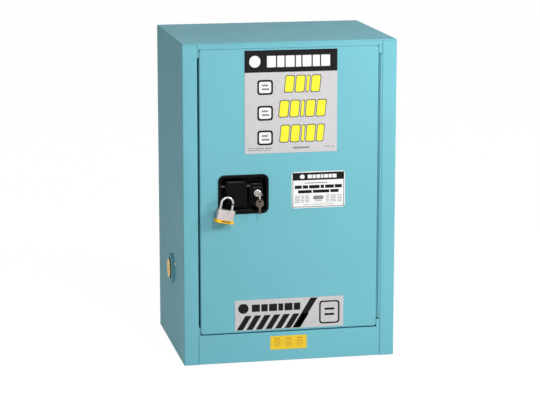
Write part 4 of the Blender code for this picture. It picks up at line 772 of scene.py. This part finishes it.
def make_padlock():
    """A laminated steel padlock: shackle, a stack of plates with rivets, a vinyl bumper and its plug."""
    pivot = Vector(JOINTS["padlock_swing"]["pos_m"])
    turn = Matrix.Rotation(PADLOCK_TURN, 4, "Z") @ Matrix.Rotation(PADLOCK_TILT, 4, "Y")
    hang = Matrix.Translation(pivot) @ turn
    bow = SHACKLE_SPAN / 2
    end = -SHACKLE_SHOW - SHACKLE_IN
    path = [Vector((0, 0, end)), Vector((0, 0, end / 2))]
    path += [Vector((u, 0, v)) for u, v in arc((-bow, 0), bow, 0, math.pi, 24)]
    path += [Vector((-SHACKLE_SPAN, 0, end / 2)), Vector((-SHACKLE_SPAN, 0, end))]
    shackle = lambda bm: add_tube(bm, path, SHACKLE_RADIUS, 24, up=Vector((0, 1, 0)))
    piece("shackle", [shackle], "chrome", "hung_shackle", ["padlock_shackle"], hang)
    top = -SHACKLE_SHOW
    pitch = CASE_HEIGHT / CASE_PLATES

    def plates(bm):
        for index in range(CASE_PLATES):
            high = top - index * pitch
            outline = lambda inset: moved(
                rounded_rect(CASE_WIDTH - 2 * inset, CASE_THICK - 2 * inset, CASE_CORNER, 6), -bow, 0
            )
            add_soft_prism(bm, outline, high - pitch + 0.02 * MM, high, 0.35 * MM, across_z, 2)

    def collars(bm):
        for u in (0, -SHACKLE_SPAN):
            profile = [
                (SHACKLE_RADIUS + 0.1 * MM, top - 1.0 * MM),
                (SHACKLE_RADIUS + 1.5 * MM, top - 1.0 * MM),
                (SHACKLE_RADIUS + 1.2 * MM, top + 0.7 * MM),
                (SHACKLE_RADIUS + 0.1 * MM, top + 0.5 * MM),
            ]
            add_turned(bm, profile, (u, 0), across_z, 24, closed=True)

    def rivets(bm):
        for side in (-1, 1):
            for rise in (-1, 1):
                at = (-bow + side * (CASE_WIDTH / 2 - 4.5 * MM), rise * (CASE_THICK / 2 - 4.5 * MM))
                profile = [(2.0 * MM, top - 1.0 * MM), (2.0 * MM, top + 0.3 * MM), (1.2 * MM, top + 0.7 * MM)]
                add_turned(bm, profile, at, across_z, 16)

    shapes = [plates, collars, rivets]
    piece("padlock_case", shapes, "case", "padlock_case", ["padlock_body"], hang)
    bumper_top = top - CASE_HEIGHT - GAP

    def bumper(bm):
        width = CASE_WIDTH + 2 * BUMPER_PROUD
        thick = CASE_THICK + 2 * BUMPER_PROUD
        outline = lambda inset: moved(
            rounded_rect(width - 2 * inset, thick - 2 * inset, CASE_CORNER + BUMPER_PROUD, 6), -bow, 0
        )
        add_soft_prism(bm, outline, bumper_top - BUMPER_HEIGHT, bumper_top, 1.6 * MM, across_z, 4)

    piece("bumper", [bumper], "yellow", "padlock_case", ["padlock_bumper"], hang)
    window_front = -CASE_THICK / 2 - BUMPER_PROUD - 0.15 * MM
    window_z = bumper_top - 3.2 * MM

    def window(bm):
        outline = lambda inset: moved(
            rounded_rect(26.0 * MM - 2 * inset, 3.4 * MM - 2 * inset, 1.6 * MM, 4), -bow + 2.0 * MM, window_z
        )
        add_soft_prism(bm, outline, window_front, window_front + 1.0 * MM, 0.1 * MM, across_y, 2)

    piece("bumper_slot", [window], "slot_dark", "padlock_case", (), hang)
    under = bumper_top - BUMPER_HEIGHT

    def keyway(bm):
        profile = [(2.0 * MM, under - 0.1 * MM), (5.6 * MM, under - 0.1 * MM), (6.0 * MM, under + 0.5 * MM)]
        profile += [(6.0 * MM, under + 2.0 * MM), (2.0 * MM, under + 2.0 * MM)]
        add_turned(bm, profile, (-bow, 0), across_z, 32, closed=True)

    piece("padlock_keyway", [keyway], "chrome", "padlock_case", (), hang)


# Vents
VENT_SIDES = 64
BORE_RADIUS = 31.0 * MM
CAP_RADIUS = 27.0 * MM
BOSS_SIDE = 16.0 * MM


def make_vent(name, side):
    """A cast bushing with a soft-edged collar and a threaded bore, its plug, a black gasket that is also painted
    shade round the cap, and its wire screen.
    """
    low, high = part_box(name + "_vent_bushing")
    plug_low, plug_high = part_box(name + "_vent_plug")
    centre = ((low.y + high.y) / 2, (low.z + high.z) / 2)
    radius = (high.z - low.z) / 2
    face = high.x if side > 0 else -low.x
    inner = low.x if side > 0 else -high.x
    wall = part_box("right_side_panel")[1].x
    tube = BORE_RADIUS + 2.5 * MM
    collar_edge = 2.5 * MM
    pitch = 2.2 * MM
    profile = [(BORE_RADIUS - 1.2 * MM, face - 2.5 * MM), (BORE_RADIUS + 0.6 * MM, face)]
    angles = [QUARTER * step / 4 for step in range(5)]
    profile += [
        (radius - collar_edge + collar_edge * math.sin(a), face - collar_edge + collar_edge * math.cos(a))
        for a in angles
    ]
    profile += [(radius, wall + GAP), (tube, wall + GAP), (tube, inner), (BORE_RADIUS, inner)]
    threads = int((face - inner - 6.0 * MM) / pitch)
    for index in range(threads):
        x = inner + 2.0 * MM + index * pitch
        profile += [(BORE_RADIUS, x), (BORE_RADIUS - 1.0 * MM, x + pitch / 2)]
    shape = lambda bm: add_turned(
        bm, [(r, side * x) for r, x in profile], centre, across_x, VENT_SIDES, closed=True
    )
    piece(name + "_vent_collar", [shape], "paint", "cabinet", [name + "_vent_bushing"])
    plug_face = plug_high.x if side > 0 else -plug_low.x
    plug_back = plug_low.x if side > 0 else -plug_high.x
    plug_radius = BORE_RADIUS - 1.5 * MM
    cap_back = face + 0.8 * MM
    dish = 1.6 * MM
    plug_profile = [
        (plug_radius - 1.0 * MM, plug_back),
        (plug_radius, plug_back + 1.0 * MM),
        (plug_radius, face - 6.0 * MM),
        (plug_radius - 8.0 * MM, face - 6.0 * MM),
        (plug_radius - 8.0 * MM, cap_back),
        (CAP_RADIUS, cap_back),
        (CAP_RADIUS, plug_face - 0.6 * MM),
        (CAP_RADIUS - 0.6 * MM, plug_face),
        (CAP_RADIUS - 4.0 * MM, plug_face),
        (CAP_RADIUS - 5.0 * MM, plug_face - dish + 0.5 * MM),
        (CAP_RADIUS - 6.5 * MM, plug_face - dish),
    ]
    # a black gasket round the cap's side, partly a real seal and partly painted shade for the dark gap between cap
    # and collar
    gasket_and_shade_profile = [
        (plug_radius - 7.7 * MM, face - 5.0 * MM),
        (plug_radius - 0.6 * MM, face - 5.0 * MM),
        (plug_radius - 0.6 * MM, cap_back - 1.0 * MM),
        (CAP_RADIUS + 0.9 * MM, cap_back - 0.4 * MM),
        (CAP_RADIUS + 0.9 * MM, plug_face - 1.1 * MM),
        (CAP_RADIUS + 0.2 * MM, plug_face - 0.8 * MM),
        (CAP_RADIUS + 0.2 * MM, cap_back - GAP),
        (plug_radius - 7.7 * MM, cap_back - GAP),
    ]

    def boss(bm):
        side_at = lambda inset: BOSS_SIDE - 2 * inset
        outline = lambda inset: moved(rounded_rect(side_at(inset), side_at(inset), 2 * MM, 4), *centre)
        ends = sorted((side * (plug_face - dish - 0.5 * MM), side * plug_face))
        add_soft_prism(bm, outline, *ends, 0.9 * MM, across_x)

    cap = lambda bm: add_turned(bm, [(r, side * x) for r, x in plug_profile], centre, across_x, VENT_SIDES)
    piece(name + "_screw_plug", [cap, boss], "gold", name + "_plug", [name + "_vent_plug"])
    ring = lambda bm: add_turned(
        bm, [(r, side * x) for r, x in gasket_and_shade_profile], centre, across_x, VENT_SIDES, closed=True
    )
    piece(name + "_plug_gasket_painted_shade", [ring], "black_matte", name + "_plug")
    make_screen(name, centre)


def make_screen(name, centre):
    """Two layers of crossed wires inside a flat rim."""
    low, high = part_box(name + "_flame_screen")
    radius = (high.z - low.z) / 2
    middle = (low.x + high.x) / 2
    wire = 0.22 * MM
    pitch = 1.6 * MM
    count = int(2 * (radius - 2 * MM) / pitch)

    def wires(bm):
        for index in range(count):
            along = (index - (count - 1) / 2) * pitch
            half = math.sqrt(max((radius - 1 * MM) ** 2 - along**2, 0))
            for across in (0, 1):
                x = middle + (wire if across else -wire)
                ends = [(along, reach) if across else (reach, along) for reach in (-half, half)]
                add_tube(bm, [Vector((x, centre[0] + u, centre[1] + v)) for u, v in ends], wire, 5)

    def rim(bm):
        profile = [(radius - 2.5 * MM, low.x), (radius, low.x), (radius, high.x), (radius - 2.5 * MM, high.x)]
        add_turned(bm, profile, centre, across_x, VENT_SIDES, closed=True)

    piece(name + "_wire_screen", [wires, rim], "zinc", "cabinet", [name + "_flame_screen"])


def make_ground_screw():
    """A hexagon head over a toothed washer."""
    low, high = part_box("ground_screw")
    centre = ((low.y + high.y) / 2, (low.z + high.z) / 2)
    surface = high.x
    radius = (high.y - low.y) / 2

    def washer(bm):
        teeth = 16
        outer = []
        for index in range(teeth * 2):
            reach = radius if index % 2 else radius - 0.8 * MM
            angle = math.pi * index / teeth
            outer.append((centre[0] + reach * math.cos(angle), centre[1] + reach * math.sin(angle)))
        add_prism(bm, outer, surface - 1.2 * MM, surface, across_x)

    def head(bm):
        flats = [(3.5 * MM, surface - 1.2 * MM), (3.5 * MM, low.x + 0.5 * MM), (3.0 * MM, low.x)]
        add_turned(bm, flats, centre, across_x, 6)

    piece("earth_screw", [washer, head], "zinc", "cabinet", ["ground_screw"])


# Feet
def make_feet():
    """A pad with a round edge, a threaded stud and a hexagon nut."""
    for name in ("front_left", "front_right", "rear_left", "rear_right"):
        node = name + "_foot"
        low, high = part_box(node)
        centre = ((low.x + high.x) / 2, (low.y + high.y) / 2)
        radius = 16.0 * MM
        nut = 8.0 * MM
        pad = [
            (radius - 1.5 * MM, 0),
            (radius - 0.4 * MM, 0.4 * MM),
            (radius, 1.2 * MM),
            (radius, 2.2 * MM),
            (radius - 0.5 * MM, 2.7 * MM),
            (4.9 * MM, 2.7 * MM),
        ]
        z = 3.0 * MM
        while z < high.z - 1.5 * MM:
            pad += [(4.5 * MM, z), (4.9 * MM, z + 0.6 * MM)]
            z += 1.2 * MM
        stud = lambda bm, profile=pad: add_turned(bm, profile, centre, across_z, 32)
        flats = [(8.6 * MM, high.z - nut), (9.0 * MM, high.z - nut + 0.5 * MM), (9.0 * MM, high.z)]
        nut_shape = lambda bm: add_turned(bm, flats, centre, across_z, 6)
        body = "foot_" + name
        piece(name + "_levelling_foot", [stud, nut_shape], "zinc", body, [node])


# Plates: films with plain generic marks in place of words and signs
FILM_LIFT = 0.05 * MM


class Plate:
    """Shares of a plate's width and height, from its upper left corner, as places on its face."""

    def __init__(self, node, body, slot):
        self.low, self.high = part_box(node)
        self.body = body
        self.slot = slot
        self.width = self.high.x - self.low.x
        self.height = self.high.z - self.low.z

    def at(self, share_x, share_y):
        return self.low.x + share_x * self.width, self.high.z - share_y * self.height

    def block(self, x0, y0, x1, y1, radius=0.0, lean=0.0, layer=0):
        """A rectangle between two shares; lean shifts its top to the right."""
        left, top = self.at(x0, y0)
        right, bottom = self.at(x1, y1)
        width, height = right - left, top - bottom
        outline = rounded_rect(width, height, radius or 0.1 * MM, 4 if radius else 1)
        outline = moved(outline, (left + right) / 2, (top + bottom) / 2)
        middle = (top + bottom) / 2
        outline = [(u + (v - middle) * lean, v) for u, v in outline]
        return (self.low.y - layer * FILM_LIFT, outline)

    def frame_marks(self, x0, y0, x1, y1, line, layer=0):
        """Four thin bars round a rectangle."""
        line_y = line * self.width / self.height
        return [
            self.block(x0, y0, x1, y0 + line_y, layer=layer),
            self.block(x0, y1 - line_y, x1, y1, layer=layer),
            self.block(x0, y0, x0 + line, y1, layer=layer),
            self.block(x1 - line, y0, x1, y1, layer=layer),
        ]

    def row(self, x0, y0, x1, y1, widths, space, **options):
        """Blocks of the given relative widths side by side."""
        total = sum(widths)
        run = (x1 - x0) - space * (len(widths) - 1)
        blocks = []
        x = x0
        for width in widths:
            end = x + run * width / total
            blocks.append(self.block(x, y0, end, y1, **options))
            x = end + space
        return blocks

    def film(self, name, ink, marks):
        """Closed, very thin shapes in one colour on the plate's face; each mark is an outline in X and Z."""

        def add(bm):
            for depth, outline in marks:
                add_prism(bm, outline, depth - FILM_LIFT, depth + FILM_LIFT / 2, across_y)

        piece(name, [add], ink, self.body)


def make_top_plate():
    plate = Plate("door_top_plate", "door", "grey_plate")
    plate.film("top_plate_band", "black_ink", [plate.block(0, 0, 1, 0.213)])
    header = plate.row(0.24, 0.055, 0.92, 0.165, (5, 4, 5, 3, 5, 4, 5), 0.014, layer=1, radius=1 * MM)
    header.append(plate.block(0.05, 0.05, 0.17, 0.165, radius=15 * MM, layer=1))
    plate.film("top_plate_band_marks", "white_ink", header)
    rows = (
        (0.43, 0.245, 0.82, 0.415, (5, 5, 2, 5)),
        (0.37, 0.485, 0.88, 0.655, (5, 5, 2, 5, 5)),
        (0.38, 0.725, 0.86, 0.900, (5, 5, 2, 5, 4)),
    )
    rim = 0.009 * plate.width
    outlines = []
    fills = []
    for x0, y0, x1, y1, widths in rows:
        blocks = plate.row(x0, y0, x1, y1, widths, 0.010, radius=5 * MM, lean=0.10)
        outlines += blocks
        for depth, outline in blocks:
            u = sum(point[0] for point in outline) / len(outline)
            v = sum(point[1] for point in outline) / len(outline)
            shrink_u = 1 - rim / max(abs(point[0] - u) for point in outline)
            shrink_v = 1 - rim / max(abs(point[1] - v) for point in outline)
            fill = [(u + (p[0] - u) * shrink_u, v + (p[1] - v) * shrink_v) for p in outline]
            fills.append((depth - FILM_LIFT, fill))
    plate.film("top_plate_outlines", "navy_ink", outlines)
    plate.film("top_plate_blocks", "yellow_ink", fills)
    signs = []
    inner = []
    bars = []
    for y in (0.285, 0.535, 0.775):
        signs.append(plate.block(0.135, y, 0.305, y + 0.145, radius=8 * MM))
        inner.append(plate.block(0.155, y + 0.018, 0.285, y + 0.127, radius=5 * MM, layer=1))
        bars.append(plate.block(0.185, y + 0.045, 0.250, y + 0.062, layer=2))
        bars.append(plate.block(0.185, y + 0.082, 0.265, y + 0.099, layer=2))
    plate.film("top_plate_signs", "black_ink", signs)
    plate.film("top_plate_sign_grounds", "white_ink", inner)
    bars.append(plate.block(0.52, 0.945, 0.70, 0.962))
    bars += plate.row(0.03, 0.945, 0.30, 0.953, (3, 5, 4), 0.012)
    bars += plate.row(0.03, 0.965, 0.28, 0.971, (6, 3), 0.012)
    bars += plate.row(0.87, 0.945, 0.97, 0.953, (3, 2), 0.012)
    plate.film("top_plate_bars", "grey_ink", bars)


def make_side_plate():
    plate = Plate("door_side_plate", "door", "white_plate")
    marks = plate.frame_marks(0.018, 0.026, 0.982, 0.974, 0.010)
    marks.append(plate.block(0.018, 0.026, 0.982, 0.235))
    marks += plate.row(0.06, 0.375, 0.94, 0.465, (4, 3, 6, 2, 5, 4), 0.018)
    marks += plate.row(0.12, 0.505, 0.88, 0.590, (5, 6, 3), 0.02)
    plate.film("side_plate_bars", "black_ink", marks)
    header = plate.row(0.30, 0.085, 0.84, 0.185, (4, 3, 4, 2, 4, 3, 4), 0.012, layer=1)
    header.append(plate.block(0.155, 0.075, 0.245, 0.195, radius=6 * MM, layer=1))
    plate.film("side_plate_header_marks", "white_ink", header)
    fine = [plate.block(0.24, 0.30, 0.66, 0.325)]
    for index in range(5):
        y = 0.655 + index * 0.042
        fine += plate.row(0.06, y, 0.33, y + 0.016, (5, 3, 4), 0.02)
        fine += plate.row(0.64, y, 0.94, y + 0.016, (3, 5, 4), 0.02)
    fine.append(plate.block(0.44, 0.80, 0.56, 0.82))
    fine += plate.row(0.22, 0.90, 0.78, 0.912, (4, 7, 5), 0.02)
    plate.film("side_plate_lines", "grey_ink", fine)
    plate.film("side_plate_oval", "grey_ink", [plate.block(0.40, 0.665, 0.60, 0.775, radius=6 * MM)])


def make_low_plate():
    plate = Plate("door_low_plate", "door", "grey_plate")
    marks = []
    lean = 0.62
    slope = 0.5 * plate.height * lean / plate.width
    for index in range(7):
        x = 0.055 + index * 0.088
        marks.append(plate.block(x, 0.52, x + 0.058, 0.985, lean=lean))
    marks.append(plate.block(0.655 - slope / 2, 0.02, 0.720 - slope / 2, 0.985, lean=lean))
    marks += plate.row(0.155, 0.16, 0.60, 0.40, (5, 4, 5, 3, 5, 4), 0.012, radius=1 * MM)
    marks.append(plate.block(0.03, 0.12, 0.125, 0.44, radius=13 * MM))
    marks.append(plate.block(0.775, 0.14, 0.965, 0.90, radius=9 * MM))
    plate.film("low_plate_bars", "black_ink", marks)
    ground = [plate.block(0.790, 0.19, 0.950, 0.85, radius=6 * MM, layer=1)]
    plate.film("low_plate_ground", "grey_film", ground)
    bars = [plate.block(0.825, 0.38, 0.915, 0.45, layer=2), plate.block(0.825, 0.56, 0.915, 0.63, layer=2)]
    plate.film("low_plate_sign_bars", "black_ink", bars)


def make_sill_plate():
    plate = Plate("sill_plate", "cabinet", "yellow_plate")
    marks = plate.frame_marks(0.03, 0.08, 0.97, 0.92, 0.008)
    for x in (0.345, 0.655):
        marks.append(plate.block(x, 0.14, x + 0.008, 0.86))
    for column in range(3):
        left = 0.07 + column * 0.31
        marks.append(plate.block(left + 0.04, 0.17, left + 0.20, 0.25))
        for index in range(6):
            y = 0.32 + index * 0.085
            inset = 0.02 * (index % 3)
            marks.append(plate.block(left + inset, y, left + 0.24 - inset, y + 0.035))
    plate.film("sill_plate_lines", "orange_ink", marks)


def seen_ray(tree):
    """1 for what the camera sees, straight or in a reflection or through glass, and 0 for the rest."""
    path = tree.nodes.new("ShaderNodeLightPath")
    seen = path.outputs["Is Camera Ray"]
    for name in ("Is Glossy Ray", "Is Transmission Ray"):
        larger = tree.nodes.new("ShaderNodeMath")
        larger.operation = "MAXIMUM"
        tree.links.new(seen, larger.inputs[0])
        tree.links.new(path.outputs[name], larger.inputs[1])
        seen = larger.outputs[0]
    return seen


def make_world():
    world = bpy.data.worlds.new("studio")
    bpy.context.scene.world = world
    world.use_nodes = True
    tree = world.node_tree
    background = tree.nodes["Background"]
    background.inputs["Color"].default_value = (1, 1, 1, 1)
    seen = seen_ray(tree)
    strength = tree.nodes.new("ShaderNodeMapRange")
    strength.inputs["To Min"].default_value = WORLD_LIGHT
    strength.inputs["To Max"].default_value = 1.0
    tree.links.new(seen, strength.inputs["Value"])
    tree.links.new(strength.outputs["Result"], background.inputs["Strength"])


def make_floor():
    bm = bmesh.new()
    bmesh.ops.create_grid(bm, x_segments=8, y_segments=8, size=FLOOR_SIZE / 2)
    mesh = bpy.data.meshes.new("floor")
    bm.to_mesh(mesh)
    bm.free()
    floor = bpy.data.objects.new("floor", mesh)
    floor.location.z = -0.2 * MM
    bpy.context.scene.collection.objects.link(floor)
    material = bpy.data.materials.new("pale_floor")
    material.use_nodes = True
    tree = material.node_tree
    shader = tree.nodes["Principled BSDF"]
    shader.inputs["Base Color"].default_value = (0.85, 0.85, 0.85, 1)
    shader.inputs["Roughness"].default_value = 0.9
    shader.inputs["Specular IOR Level"].default_value = 0.1
    glow = tree.nodes.new("ShaderNodeEmission")
    glow.inputs["Strength"].default_value = FLOOR_GLOW
    share = tree.nodes.new("ShaderNodeMath")
    share.operation = "MULTIPLY"
    share.inputs[1].default_value = 1 - FLOOR_SHADOW_SHARE
    tree.links.new(seen_ray(tree), share.inputs[0])
    mix = tree.nodes.new("ShaderNodeMixShader")
    tree.links.new(share.outputs[0], mix.inputs["Fac"])
    tree.links.new(shader.outputs[0], mix.inputs[1])
    tree.links.new(glow.outputs[0], mix.inputs[2])
    tree.links.new(mix.outputs[0], tree.nodes["Material Output"].inputs["Surface"])
    mesh.materials.append(material)


def add_lamp(name, place, target, size, power):
    lamp = bpy.data.lights.new(name, "AREA")
    lamp.shape = "RECTANGLE"
    lamp.size, lamp.size_y = size
    lamp.energy = power
    obj = bpy.data.objects.new(name, lamp)
    obj.location = place
    toward = Vector(target) - Vector(place)
    obj.rotation_euler = toward.to_track_quat("-Z", "Y").to_euler()
    bpy.context.scene.collection.objects.link(obj)


def make_light():
    add_lamp("key", (0.05, -2.1, 1.75), (0, -0.2, 0.6), (0.3, 0.25), 17)
    add_lamp("side", (1.55, -1.5, 1.50), (0, -0.2, 0.7), (0.7, 0.7), 32)
    add_lamp("fill", (-0.75, -3.6, 0.9), (0, -0.2, 0.4), (1.2, 1.2), 7)


def make_camera():
    camera = bpy.data.cameras.new("camera")
    camera.lens = CAMERA_LENS
    camera.sensor_width = 36.0
    camera.sensor_fit = "HORIZONTAL"
    obj = bpy.data.objects.new("camera", camera)
    obj.location = (CAMERA_X, FRONT - CAMERA_BEFORE_FRONT, CAMERA_Z)
    obj.rotation_euler = (QUARTER - CAMERA_PITCH, 0, -CAMERA_TURN)
    bpy.context.scene.collection.objects.link(obj)
    bpy.context.scene.camera = obj


bpy.context.scene.view_settings.view_transform = "Standard"
finish_cad_nodes()
make_hinge()
make_top_seam()
make_cup()
make_paddle()
make_housing()
make_gloss_lines()
make_lock_cylinder()
make_keys()
make_padlock()
make_vent("left", -1)
make_vent("right", 1)
make_ground_screw()
make_feet()
make_top_plate()
make_side_plate()
make_low_plate()
make_sill_plate()
make_world()
make_floor()
make_light()
make_camera()
